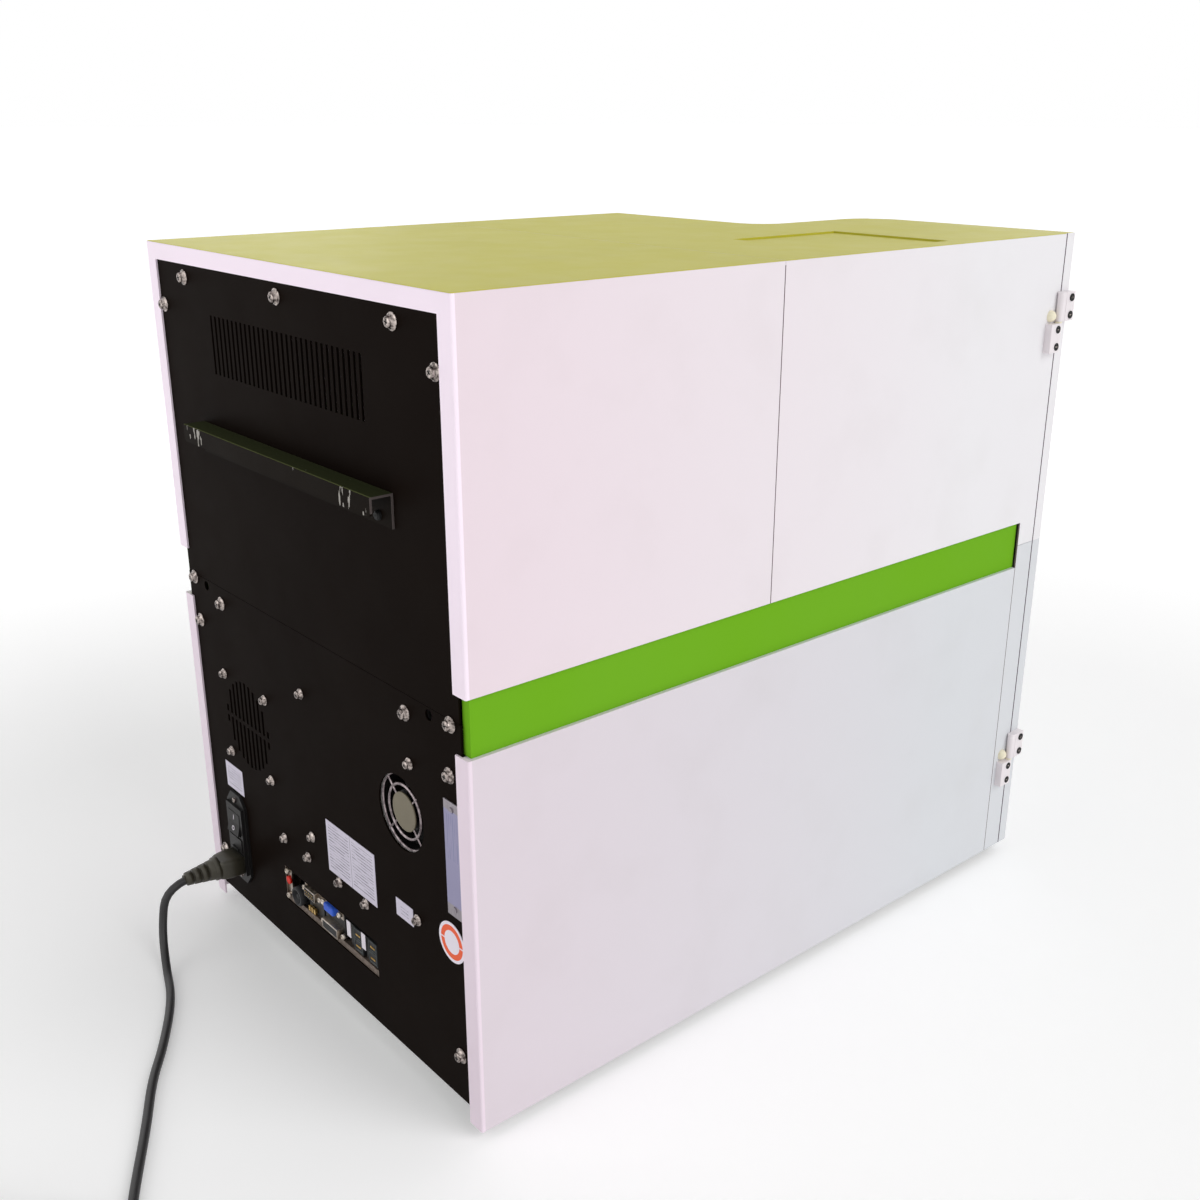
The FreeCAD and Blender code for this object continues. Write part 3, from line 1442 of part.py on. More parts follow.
def carriage():
    """The bearing block on the cross rods with the tray that holds one plate."""
    left, right = carriage_x - 38, carriage_x + 18
    bearing = block((left, right), (beam_y - beam_half, beam_y + beam_half),
                    (cross_rod_height - 7, cross_rod_height + 7))
    centre = beam_y - nest_offset
    half_x, half_y = plate_width / 2 + nest_margin, plate_length / 2 + nest_margin
    nest = block((carriage_x - half_x, carriage_x + half_x), (centre - half_y, centre + half_y),
                 (nest_low, nest_low + nest_thickness))
    arm = block((left, right), (centre + half_y - 5, beam_y - beam_half + 5), (nest_low, nest_low + nest_thickness))
    jaw_y = pulley_y - pulley_radius
    jaw = block((carriage_x - 6, carriage_x + 6), (beam_y, jaw_y + 4),
                (cross_rod_height + 7, belt_low + belt_width + 2))
    clear = belt_play + belt_thickness
    slot = block((carriage_x - 10, carriage_x + 10), (jaw_y - clear - belt_play, jaw_y + belt_play),
                 (belt_low - belt_play, belt_low + belt_width + belt_play))
    under = block((carriage_x - 10, carriage_x + 10), (back_plate[0] - 3, jaw_y + 6),
                  (cross_rod_height, belt_low - 1))
    inner = plate_seat
    window = block((carriage_x - plate_width / 2 + inner, carriage_x + plate_width / 2 - inner),
                   (centre - plate_length / 2 + inner, centre + plate_length / 2 - inner),
                   (nest_low - 1, nest_low + nest_thickness + 1))
    seat = block((carriage_x - plate_width / 2 - 0.5, carriage_x + plate_width / 2 + 0.5),
                 (centre - plate_length / 2 - 0.5, centre + plate_length / 2 + 0.5),
                 (nest_low + nest_thickness - 2, nest_low + nest_thickness + 1))
    bores = [rod("x", (beam_y + side * cross_rod_offset, cross_rod_height), cross_rod_radius + rod_clearance,
                 (left - 1, right + 1)) for side in (-1, 1)]
    node("carriage", cut(fuse(bearing, nest, arm, jaw), slot, under, window, seat, *bores))


def y_screw():
    node("y_screw", rod("y", (screw_x, screw_lift), lead_screw_radius, (rod_front + 1, rod_rear + 8)))


def pulleys():
    high = belt_low + belt_width
    drive = rod("z", (drive_x, pulley_y), pulley_radius, (belt_low, high))
    node("drive_pulley", drive)
    wheel = rod("z", (idler_x, pulley_y), pulley_radius, (belt_low - 2, high))
    bore = rod("z", (idler_x, pulley_y), 2.5 + rod_clearance, (belt_low - 3, high + 1))
    node("idler_pulley", cut(wheel, bore))


def x_belt():
    """A flat loop round both pulleys, free of their rims by the play."""
    def loop(radius, low, high):
        return fuse(block((drive_x, idler_x), (pulley_y - radius, pulley_y + radius), (low, high)),
                    rod("z", (drive_x, pulley_y), radius, (low, high)),
                    rod("z", (idler_x, pulley_y), radius, (low, high)))
    inner = pulley_radius + belt_play
    node("x_belt", cut(loop(inner + belt_thickness, belt_low, belt_low + belt_width),
                       loop(inner, belt_low - 1, belt_low + belt_width + 1)))


rod_brackets()
cross_slide()
x_motor()
carriage()
y_screw()
pulleys()
x_belt()


# Detectors above and below the deck

portal_top = portal_low + portal_thickness
portal_y = (detector_y - shield_length / 2, detector_y + shield_length / 2)
shield_x = (detector_x - shield_width / 2, detector_x + shield_width / 2)
portal_half = half_width - band_inset - skin


def detector_bridge():
    """The portal over the conveyor that carries the upper detectors."""
    shelf = block((-portal_half, portal_half), portal_y, (portal_low, portal_top))
    legs = []
    for side in (-1, 1):
        bounds = sorted((side * (portal_half - leg_thickness), side * portal_half), key=lambda amount: amount.value)
        legs.append(block(bounds, portal_y, (deck_top, portal_low + 1)))
    windows = [rod("z", (detector_x, y), tube_radius + tube_play, (portal_low - 1, portal_top + 1)) for y in tube_y]
    node("detector_bridge", cut(fuse(shelf, *legs), *windows))


def shield(low, high):
    """A lead block, bored for both tubes of its pair."""
    bores = [rod("z", (detector_x, y), tube_radius + tube_play, (low - 1, high + 1)) for y in tube_y]
    return cut(block(shield_x, portal_y, (low, high)), *bores)


def photomultipliers(face, back):
    """A pair of glass tubes, each with its socket at the far end from the plate."""
    parts = []
    for y in tube_y:
        low, high = sorted((face, back), key=lambda amount: amount.value)
        tube = rod("z", (detector_x, y), tube_radius, (low, high))
        collar = (back, back - 18) if back.value > face.value else (back + 18, back)
        base = rod("z", (detector_x, y), tube_radius + tube_play,
                   sorted(collar, key=lambda amount: amount.value))
        parts.append(fuse(tube, base))
    return parts


shield_high = portal_top + shield_width
shield_low = deck_bottom - shield_width
detector_bridge()
node("detector_shields", shield(portal_top, shield_high), shield(shield_low, deck_bottom),
     block(shield_x, portal_y, (shield_high, shield_high + cap_thickness)),
     block(shield_x, portal_y, (shield_low - cap_thickness, shield_low)))
node("photomultipliers", *photomultipliers(portal_top - 4, shield_high),
     *photomultipliers(deck_bottom + 4, shield_low))


def detector_board():
    """The pulse board on four spacers on the upper cap."""
    low = shield_high + cap_thickness
    parts = [block((detector_x - 60, detector_x + 60), (detector_y - 60, detector_y + 60),
                   (low + 6, low + 6 + board_thickness))]
    for i in (-52, 52):
        for j in (-52, 52):
            parts.append(rod("z", (detector_x + i, detector_y + j), 3, (low, low + 6)))
    return fuse(*parts)


node("circuit_boards", computer_board(), drive_board(), detector_board())


# Elevators and plate racks of the two columns

motor_top = base_top + elevator_motor_height


def elevator(name, x):
    """A platform on a hollow stem with a yoke that runs on two rods and a screw."""
    platform = block((x - platform_width / 2, x + platform_width / 2),
                     (column_y - platform_length / 2, column_y + platform_length / 2),
                     (platform_rest - platform_thickness, platform_rest))
    stem = rod("z", (x, column_y), stem_radius, (yoke_low, platform_rest - 1))
    yoke = block((x - elevator_rod_offset - 7, x + elevator_rod_offset + 7), (column_y - 20, column_y + 20),
                 (yoke_low, yoke_low + yoke_thickness))
    tools = [rod("z", (x, column_y), lead_screw_radius + rod_clearance, (yoke_low - 1, yoke_low + 20)),
             rod("z", (x, column_y), stem_bore, (yoke_low + yoke_thickness, platform_rest - platform_thickness))]
    for side in (-1, 1):
        tools.append(rod("z", (x + side * elevator_rod_offset, column_y), cross_rod_radius + rod_clearance,
                         (yoke_low - 1, yoke_low + yoke_thickness + 1)))
    node(name, cut(fuse(platform, stem, yoke), *tools))


elevator_names = ("left", "right")
for side_name, x in zip(elevator_names, column_x):
    elevator(f"elevator_{side_name}", x)
    node(f"elevator_screw_{side_name}",
         rod("z", (x, column_y), lead_screw_radius, (motor_top + 0.3, yoke_low + elevator_travel + 15)))

half_motor = elevator_motor_side / 2
node("drive_motors", y_motor(), *[
    block((x - half_motor, x + half_motor), (column_y - half_motor, column_y + half_motor), (base_top, motor_top))
    for x in column_x])
node("guide_rods", *long_rods, *[
    rod("z", (x + side * elevator_rod_offset, column_y), cross_rod_radius, (base_top, platform_rest - 8))
    for x in column_x for side in (-1, 1)])


def stack_rack(x):
    """An open rack of four angle posts on a ring that stands on the bay's floor."""
    floor = band_high + skin
    half_x, half_y = plate_width / 2 + rack_play + rack_sheet, plate_length / 2 + rack_play + rack_sheet
    ring = cut(block((x - half_x, x + half_x), (column_y - half_y, column_y + half_y), (floor, floor + rack_base)),
               block((x - half_x + rack_sheet, x + half_x - rack_sheet),
                     (column_y - half_y + rack_sheet, column_y + half_y - rack_sheet),
                     (floor - 1, floor + rack_base + 1)))
    parts = [ring]
    for i in (-1, 1):
        for j in (-1, 1):
            outer_x, outer_y = x + i * half_x, column_y + j * half_y
            wide = sorted((outer_x, outer_x - i * rack_post), key=lambda amount: amount.value)
            thin = sorted((outer_x, outer_x - i * rack_sheet), key=lambda amount: amount.value)
            deep = sorted((outer_y, outer_y - j * rack_post), key=lambda amount: amount.value)
            slim = sorted((outer_y, outer_y - j * rack_sheet), key=lambda amount: amount.value)
            parts.append(block(wide, slim, (floor, rack_top)))
            parts.append(block(thin, deep, (floor, rack_top)))
    return fuse(*parts)


node("stack_racks", *[stack_rack(x) for x in column_x])


# Plates and blank labels on the rear


inlet_label_x, inlet_label_z = entry_x + 0.8, entry_z + inlet_label_rise
port_label_x, port_label_z = (port_left + port_right) / 2 - 42.35, port_high + port_label_rise
small_label_x, small_label_z = small_label_inset - half_width, port_high + 49.25
round_label_x, round_label_z = round_label_inset - half_width, port_high + 54.8
plate_x, plate_z = plate_inset - half_width, small_fan_z - 8.25


def labels():
    """Blank films: by the inlet, over the connectors, beside the module, and a round one."""
    face = (panel_face, panel_face + label_thickness)
    films = ((inlet_label_x, inlet_label_z, inlet_label_width, inlet_label_height),
             (port_label_x, port_label_z, port_label_width, port_label_height),
             (small_label_x, small_label_z, small_label_width, small_label_height))
    parts = [block((x - wide / 2, x + wide / 2), face, (z - tall / 2, z + tall / 2))
             for x, z, wide, tall in films]
    parts.append(rod("y", (round_label_x, round_label_z), round_label_radius, face))
    node("labels", *parts)


def rating_plate():
    """A small metal plate with a rivet at each end."""
    low, high = plate_z - plate_tall / 2, plate_z + plate_tall / 2
    front = panel_face + plate_thickness
    plate = block((plate_x - plate_wide / 2, plate_x + plate_wide / 2), (panel_face, front), (low, high))
    rivets = [rod("y", (plate_x, z), rivet_radius, (panel_face + plate_thickness / 2, front + plate_thickness))
              for z in (low + rivet_inset, high - rivet_inset)]
    node("rating_plate", fuse(plate, *rivets))


labels()
rating_plate()


# Mains lead

insert_rear = panel_face + entry_proud + insert_gap
overmould_rear = insert_rear + overmould_length
boot_rear = overmould_rear + boot_length
lead_start = overmould_rear + lead_entry
lead_radius = lead_diameter / 2
coil_x = entry_x - coil_across
coil_y = panel_face + coil_setback
floor_height = lead_radius - foot_rise


def mains_connector():
    """The moulded connector with its insert in the inlet."""
    play = plug_clearance
    floor = panel_face + entry_proud - socket_depth + play
    insert = block((entry_x - socket_width / 2, entry_x + socket_width / 2), (floor, insert_rear),
                   (socket_z - socket_height / 2, socket_z + socket_height / 2))
    handle = block((entry_x - overmould_width / 2, entry_x + overmould_width / 2),
                   (insert_rear, overmould_rear),
                   (socket_z - overmould_height / 2, socket_z + overmould_height / 2))
    slots = []
    for x, z in pin_places:
        slots.append(block((x - pin_thickness / 2 - play, x + pin_thickness / 2 + play),
                           (floor - 1, floor + pin_length + play),
                           (z - pin_width / 2 - play, z + pin_width / 2 + play)))
    boot = rod("y", (entry_x, socket_z), boot_wide, (overmould_rear, boot_rear), boot_narrow)
    slots.append(rod("y", (entry_x, socket_z), lead_radius, (lead_start, boot_rear + 1)))
    node("mains_connector", cut(fuse(insert, handle, boot), *slots))


def bent_path(points):
    """Straight runs joined by tangent arcs, with the radius of each arc."""
    edges, radii = [], []
    start = points[0]
    for before, corner, after in zip(points, points[1:], points[2:]):
        back, ahead = before - corner, after - corner
        turn = math.pi - back.getAngle(ahead)
        reach = 0.45 * min(back.Length, ahead.Length)
        radius = reach / math.tan(turn / 2)
        arrive = corner + Vector(back).normalize() * reach
        leave = corner + Vector(ahead).normalize() * reach
        inward = (Vector(back).normalize() + Vector(ahead).normalize()).normalize()
        peak = corner + inward * (radius / math.cos(turn / 2) - radius)
        edges.append(Part.makeLine(start, arrive))
        edges.append(Part.Arc(arrive, peak, leave).toShape())
        radii.append(radius)
        start = leave
    edges.append(Part.makeLine(start, points[-1]))
    return Part.Wire(edges), radii


def hank():
    """The rest of the lead, coiled on the floor."""
    low = -foot_rise
    body = cut(rod("z", (coil_x, coil_y), coil_radius + coil_width / 2, (low, low + coil_height)),
               rod("z", (coil_x, coil_y), coil_radius - coil_width / 2, (low - 1, low + coil_height + 1)))
    return body


mains_connector()
bends = ((0, 71.5, socket_z), (-1, 79.5, 20), (-24.5, 88.5, floor_height), (-66.5, 101.5, floor_height),
         (-119.5, 131.5, floor_height), (-152.5, 154.5, floor_height), (-195.5, 176.5, floor_height),
         (-246.5, 205.5, floor_height), (-302.5, 236.5, floor_height))
route = [Vector(entry_x.value, lead_start.value, socket_z.value)]
for across, back, height in bends:
    route.append(Vector((entry_x + across).value, (panel_face + back).value, as_size(height).value))
path, bend_radii = bent_path(route)
print("mains lead length", round(path.Length, 1))
print("bend radii", [round(radius, 1) for radius in bend_radii])
profile = Part.Wire(Part.Circle(route[0], Vector(0, 1, 0), lead_radius.value).toShape())
tube = doc.addObject("Part::Feature", "Tube")
tube.Shape = path.makePipeShell([profile], True, False)
node("mains_lead", cut(tube, hank()))
node("mains_lead_coil", hank())


def mains_plug():
    """The wall plug, lying on the floor beside the coil."""
    low = as_size(-foot_rise)
    middle = coil_y + coil_radius + lead_diameter
    start = coil_x + plug_offset
    end = start + plug_length
    body = block((start, end), (middle - plug_width / 2, middle + plug_width / 2), (low, low + plug_height))
    neck = rod("x", (middle, low + plug_height / 2), 6, (start - plug_neck, start + 1))
    free_lead = rod("x", (middle, low + plug_height / 2), lead_radius, (coil_x, start - plug_neck + 1))
    blades = [block((end - 1, end + 16), (middle + y - 3.2, middle + y + 3.2), (low + 15, low + 16.6))
              for y in (-7, 7)]
    earth = rod("x", (middle, low + 8), 2.4, (end - 1, end + 19))
    node("mains_plug", cut(fuse(body, neck, free_lead, *blades, earth), hank()))


mains_plug()


# Check and write

doc.recompute()
faults = []
for thing in doc.Objects:
    if "Invalid" in thing.State or "Error" in thing.State:
        faults.append(thing.Label)
for piece in pieces:
    if piece.Shape.isNull() or not piece.Shape.isValid():
        faults.append(piece.Label)
if faults:
    raise RuntimeError("faulty objects: " + ", ".join(faults))
os.makedirs("parts", exist_ok=True)
for piece in pieces:
    piece.Shape.exportStep(f"parts/{piece.Label}.step")
print(len(pieces), "sub-parts")
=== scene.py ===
# %% [markdown]
# A microplate counter seen from behind. The CAD model gives every solid piece its shape and place.
# This notebook dresses it: paints, metals, plastics, small hardware, labels and the mains lead.

# %% The fixed frame
import math

import bmesh
import bpy
from mathutils import Matrix, Vector


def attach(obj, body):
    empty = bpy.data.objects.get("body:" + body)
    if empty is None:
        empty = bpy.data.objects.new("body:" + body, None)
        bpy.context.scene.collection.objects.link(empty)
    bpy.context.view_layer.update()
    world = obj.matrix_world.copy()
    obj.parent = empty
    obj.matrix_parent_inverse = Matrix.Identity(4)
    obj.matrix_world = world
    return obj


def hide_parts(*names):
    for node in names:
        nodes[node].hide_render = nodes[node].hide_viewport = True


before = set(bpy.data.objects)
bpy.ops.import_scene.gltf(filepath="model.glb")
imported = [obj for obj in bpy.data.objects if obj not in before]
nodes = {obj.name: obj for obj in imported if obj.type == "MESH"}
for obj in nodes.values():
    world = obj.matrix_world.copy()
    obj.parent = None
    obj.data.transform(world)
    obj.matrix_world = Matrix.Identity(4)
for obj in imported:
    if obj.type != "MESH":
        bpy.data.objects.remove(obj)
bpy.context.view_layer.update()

# %% [markdown]
# Sizes taken from the drawing are millimetres from the middle of the case, at the lower edge of its
# side panels. The frame's own origin is lower by the feet and a little to the side, so one helper
# turns a drawn place into a place in the frame, in metres.

# %% Places and camera
MM = 0.001
DRAWING = Vector((3.15, -6.25, 8.0))


def at(x, y, z):
    return (Vector((x, y, z)) + DRAWING) * MM


def look(location, turn, lens, shift):
    """The camera at the photograph's place."""
    data = bpy.data.cameras.new("photo_camera")
    data.lens = lens
    data.sensor_width = 36
    data.shift_x, data.shift_y = shift
    data.clip_start = 0.02
    camera = bpy.data.objects.new("photo_camera", data)
    camera.location = location
    camera.rotation_euler = [math.radians(angle) for angle in turn]
    bpy.context.scene.collection.objects.link(camera)
    bpy.context.scene.camera = camera
    return camera


camera = look((-0.84160, 0.73306, 0.68244), (69.9556, -0.1224, -130.5033), 40.283, (-0.00993, 0.00152))
print("camera at", [round(value, 3) for value in camera.location])

# %% [markdown]
# Finishes are made from nodes. Writing them as sums and products keeps them readable, so one small
# class wraps a socket and turns Python's operators into Math nodes. A second class holds the material
# that is being made and has one method that adds any other node.

# %% Shader maths
class Wire:
    """A socket of a material that can be added, multiplied and compared."""

    def __init__(self, tree, socket):
        self.tree = tree
        self.socket = socket

    def maths(self, operation, first, second, clamp=False):
        made = self.tree.nodes.new("ShaderNodeMath")
        made.operation = operation
        made.use_clamp = clamp
        for place, value in enumerate((first, second)):
            if isinstance(value, Wire):
                self.tree.links.new(value.socket, made.inputs[place])
            else:
                made.inputs[place].default_value = value
        return Wire(self.tree, made.outputs[0])

    def __add__(self, other):
        return self.maths("ADD", self, other)

    __radd__ = __add__

    def __sub__(self, other):
        return self.maths("SUBTRACT", self, other)

    def __rsub__(self, other):
        return self.maths("SUBTRACT", other, self)

    def __mul__(self, other):
        return self.maths("MULTIPLY", self, other)

    __rmul__ = __mul__

    def __truediv__(self, other):
        return self.maths("DIVIDE", self, other)

    def __gt__(self, other):
        return self.maths("GREATER_THAN", self, other)

    def __lt__(self, other):
        return self.maths("LESS_THAN", self, other)

    def size(self):
        return self.maths("ABSOLUTE", self, 0)

    def least(self, other):
        return self.maths("MINIMUM", self, other)

    def root(self):
        return self.maths("POWER", self, 0.5)

    def wrap(self, step):
        return self.maths("PINGPONG", self, step)

    def ease(self, low, high):
        """0 below low, 1 above high and a straight ramp between them."""
        return self.maths("MULTIPLY", self - low, 1 / (high - low), clamp=True)


class Finish:
    """A material under construction around one Principled shader."""

    def __init__(self, name, roughness=0.5, metallic=0.0):
        self.material = bpy.data.materials.new(name)
        self.material.use_nodes = True
        self.tree = self.material.node_tree
        self.shader = self.tree.nodes["Principled BSDF"]
        self.set("Roughness", roughness)
        self.set("Metallic", metallic)
        self.place = self.node("ShaderNodeTexCoord", "Object")
        parts = self.tree.nodes.new("ShaderNodeSeparateXYZ")
        self.tree.links.new(self.place.socket, parts.inputs[0])
        self.x, self.y, self.z = (Wire(self.tree, output) for output in parts.outputs)

    def node(self, kind, output, settings=None, inputs=None):
        made = self.tree.nodes.new(kind)
        for name, value in (settings or {}).items():
            if name == "stops":
                for stop, (position, colour) in zip(made.color_ramp.elements, value):
                    stop.position, stop.color = position, (*colour, 1)
            else:
                setattr(made, name, value)
        for name, value in (inputs or {}).items():
            if isinstance(value, Wire):
                self.tree.links.new(value.socket, made.inputs[name])
            else:
                made.inputs[name].default_value = value
        return Wire(self.tree, made.outputs[output])

    def upward(self):
        """How far a face points up, 1 for a level top."""
        parts = self.tree.nodes.new("ShaderNodeSeparateXYZ")
        self.tree.links.new(self.node("ShaderNodeTexCoord", "Normal").socket, parts.inputs[0])
        return Wire(self.tree, parts.outputs[2])

    def set(self, name, value):
        if isinstance(value, Wire):
            self.tree.links.new(value.socket, self.shader.inputs[name])
        else:
            self.shader.inputs[name].default_value = value

    def mix(self, share, first, second):
        """A colour between two colours, each a wire or three numbers."""
        made = self.tree.nodes.new("ShaderNodeMix")
        made.data_type = "RGBA"
        for place, value in ((0, share), (6, first), (7, second)):
            if isinstance(value, Wire):
                self.tree.links.new(value.socket, made.inputs[place])
            elif place == 0:
                made.inputs[place].default_value = value
            else:
                made.inputs[place].default_value = (*value, 1)
        return Wire(self.tree, made.outputs[2])

    def noise(self, scale, detail=2.0, stretch=None):
        vector = self.place
        if stretch:
            vector = self.node("ShaderNodeMapping", "Vector",
                               inputs={"Vector": self.place, "Scale": stretch})
        return self.node("ShaderNodeTexNoise", "Fac", inputs={
            "Vector": vector, "Scale": scale, "Detail": detail})

    def bump(self, height, strength, distance=0.0002):
        normal = self.node("ShaderNodeBump", "Normal", inputs={
            "Height": height, "Strength": strength, "Distance": distance})
        self.set("Normal", normal)


def tint(red, green, blue):
    """A colour from a photograph's 0 to 255 numbers, as the shader wants it."""
    def linear(value):
        value /= 255
        return value / 12.92 if value <= 0.04045 else ((value + 0.055) / 1.055) ** 2.4
    return tuple(linear(value) for value in (red, green, blue))


print("shader maths ready")

# %% [markdown]
# The mains lead comes first because it decides how much floor the model needs. It is a moulded
# connector in the inlet, a ribbed strain relief, a 7 mm lead that drops to the floor and runs away
# from the case, and the rest of its 2 m wound into a neat coil with the plug beside it. A tube could
# be swept as a mesh, but a curve keeps the line easy to move: it is a smooth spline through a few
# listed points, and the coil's turns are more points of that spline.

# %% Finish of the lead
def rubber(name, colour, roughness=0.55):
    finish = Finish(name, roughness)
    mottle = finish.noise(60, 3)
    finish.set("Base Color", finish.mix(mottle, tuple(value * 0.75 for value in colour),
                                        tuple(value * 1.3 for value in colour)))
    finish.set("Roughness", roughness - 0.08 + mottle * 0.16)
    finish.bump(finish.noise(900, 2), 0.25)
    return finish.material


lead_rubber = rubber("lead_rubber", tint(36, 35, 36), 0.48)
moulding_rubber = rubber("moulding_rubber", tint(58, 54, 42), 0.5)

# %% Route of the lead
LEAD_DIAMETER = 7.0
FLOOR = LEAD_DIAMETER / 2 - 8.0
INLET = (150.5, 56.5)
COIL = Vector((-128.0, 590.0))
COIL_RADIUS = 38.2
route = [
    (150.5, 358.0, 56.5), (150.5, 385.0, 56.5), (149.5, 393.0, 20.0), (126.0, 402.0, FLOOR),
    (84.0, 415.0, FLOOR), (31.0, 445.0, FLOOR), (-2.0, 468.0, FLOOR), (-45.0, 490.0, FLOOR),
    (-96.0, 519.0, FLOOR)]


def coil_points(turns, per_turn=14):
    """Four turns side by side, then three in the hollows between them."""
    rows = [(1.5, 0), (0.5, 0), (-0.5, 0), (-1.5, 0), (-1, 1), (0, 1), (1, 1)]
    points = []
    for step in range(int(turns * per_turn) + 1):
        whole, part = divmod(step / per_turn, 1)
        here, after = rows[int(whole)], rows[min(int(whole) + 1, len(rows) - 1)]
        late = min(max(0.0, (part - 0.66) / 0.25), 1.0)
        early = min(max(0.0, (part - 0.31) / 0.35), 1.0)
        share = late if here[1] == after[1] == 0 else early
        ring = here[0] + (after[0] - here[0]) * (share ** 2 if here[1] < after[1] else share)
        layer = share * (2 - share) if here[1] < after[1] else here[1]
        if layer >= 1:
            layer += 0.14 * (math.sin(math.pi * late) + (math.sin(math.pi * early) if here[1] else 0))
        if whole == len(rows) - 1:
            layer += 3.0 * max(0.0, part - 0.22)
        radius = COIL_RADIUS + ring * (LEAD_DIAMETER + 0.15)
        angle = math.radians(-119) - (whole + part) * 2 * math.pi
        points.append((COIL.x + radius * math.cos(angle), COIL.y + radius * math.sin(angle),
                       FLOOR + layer * (LEAD_DIAMETER - 0.5)))
    return points


# The lead leaves the top of the coil and runs straight into the plug.
COIL_TOP = COIL.y + COIL_RADIUS + LEAD_DIAMETER
PLUG_START = COIL.x + 62.0
tail = [(COIL.x, COIL_TOP, FLOOR + 9.4), (COIL.x + 14, COIL_TOP, FLOOR + 9.4), (COIL.x + 34, COIL_TOP, 5.0),
        (PLUG_START + 6, COIL_TOP, 5.0)]
route += [(-122.0, 532.5, FLOOR), (-139.5, 540.6, FLOOR)] + coil_points(6.42) + tail


def spline(name, points, material, bevel):
    """A round cord along a smooth NURBS line through the given points."""
    curve = bpy.data.curves.new(name, "CURVE")
    curve.dimensions = "3D"
    line = curve.splines.new("NURBS")
    line.points.add(len(points) - 1)
    for control, point in zip(line.points, points):
        control.co = (*at(*point), 1)
    line.order_u = 3
    line.use_endpoint_u = True
    curve.resolution_u = 6
    curve.bevel_depth = bevel * MM
    curve.bevel_resolution = 5
    curve.use_fill_caps = True
    curve.materials.append(material)
    piece = bpy.data.objects.new(name, curve)
    bpy.context.scene.collection.objects.link(piece)
    return piece


lead = spline("mains_lead_cord", route, lead_rubber, LEAD_DIAMETER / 2)
length = sum((at(*b) - at(*a)).length for a, b in zip(route, route[1:]))
print("mains lead, runs added up:", round(length, 3), "m")

# %% [markdown]
# Turned shapes such as knobs, feet and the ribbed strain relief are a profile swept round an axis.
# Boxy mouldings start from a box whose edges are bevelled. Both helpers leave the piece at the
# origin with its place in its mesh.

# %% Helpers for pieces
def keep(name, mesh_edit, *materials):
    """A finished mesh at the origin, from a bmesh whose points are already in the frame."""
    mesh_edit.normal_update()
    mesh = bpy.data.meshes.new(name)
    mesh_edit.to_mesh(mesh)
    mesh_edit.free()
    for material in materials:
        mesh.materials.append(material)
    piece = bpy.data.objects.new(name, mesh)
    bpy.context.scene.collection.objects.link(piece)
    return piece


AXES = {
    "x": Matrix.Rotation(math.pi / 2, 4, "Y"),
    "y": Matrix.Rotation(-math.pi / 2, 4, "X"),
    "z": Matrix(),
}


def span(centre, half):
    return (centre - half, centre + half)


def turned(mesh_edit, place, axis, profile, sides=40, slot=0, smooth=True):
    """Sweep (distance along, radius) pairs, in millimetres, round an axis through a drawn place."""
    frame_of = Matrix.Translation(at(*place)) @ AXES[axis]
    rings = []
    for along, radius in profile:
        ring = []
        for step in range(sides):
            angle = 2 * math.pi * step / sides
            ring.append(mesh_edit.verts.new(frame_of @ (Vector((
                radius * math.cos(angle), radius * math.sin(angle), along)) * MM)))
        rings.append(ring)
    for first, second in zip(rings, rings[1:]):
        for step in range(sides):
            after = (step + 1) % sides
            face = mesh_edit.faces.new((first[step], first[after], second[after], second[step]))
            face.smooth, face.material_index = smooth, slot
    for ring, flip in ((rings[0], True), (rings[-1], False)):
        face = mesh_edit.faces.new(list(reversed(ring)) if flip else ring)
        face.material_index = slot


def boxy(mesh_edit, x, y, z, bevel=0.4, slot=0, segments=2):
    """A box between drawn bounds with its edges rounded."""
    made = bmesh.ops.create_cube(mesh_edit, size=1)["verts"]
    low, high = at(x[0], y[0], z[0]), at(x[1], y[1], z[1])
    for vertex in made:
        vertex.co = Vector(low[i] + (high[i] - low[i]) * (vertex.co[i] + 0.5) for i in range(3))
    faces = {face for vertex in made for face in vertex.link_faces}
    for face in faces:
        face.material_index = slot
    if bevel:
        edges = list({edge for vertex in made for edge in vertex.link_edges})
        bmesh.ops.bevel(mesh_edit, geom=edges, offset=bevel * MM, segments=segments, affect="EDGES",
                        profile=0.5, clamp_overlap=True, material=-1)


# %% [markdown]
# The connector that fills the inlet is one moulding: a square grip that narrows to a round collar, and
# a strain relief whose rings are separate so that it can bend. The grip is a skin over a few outlines
# whose corners are rounded by a power of sine and cosine, and the rings are turned from one profile.

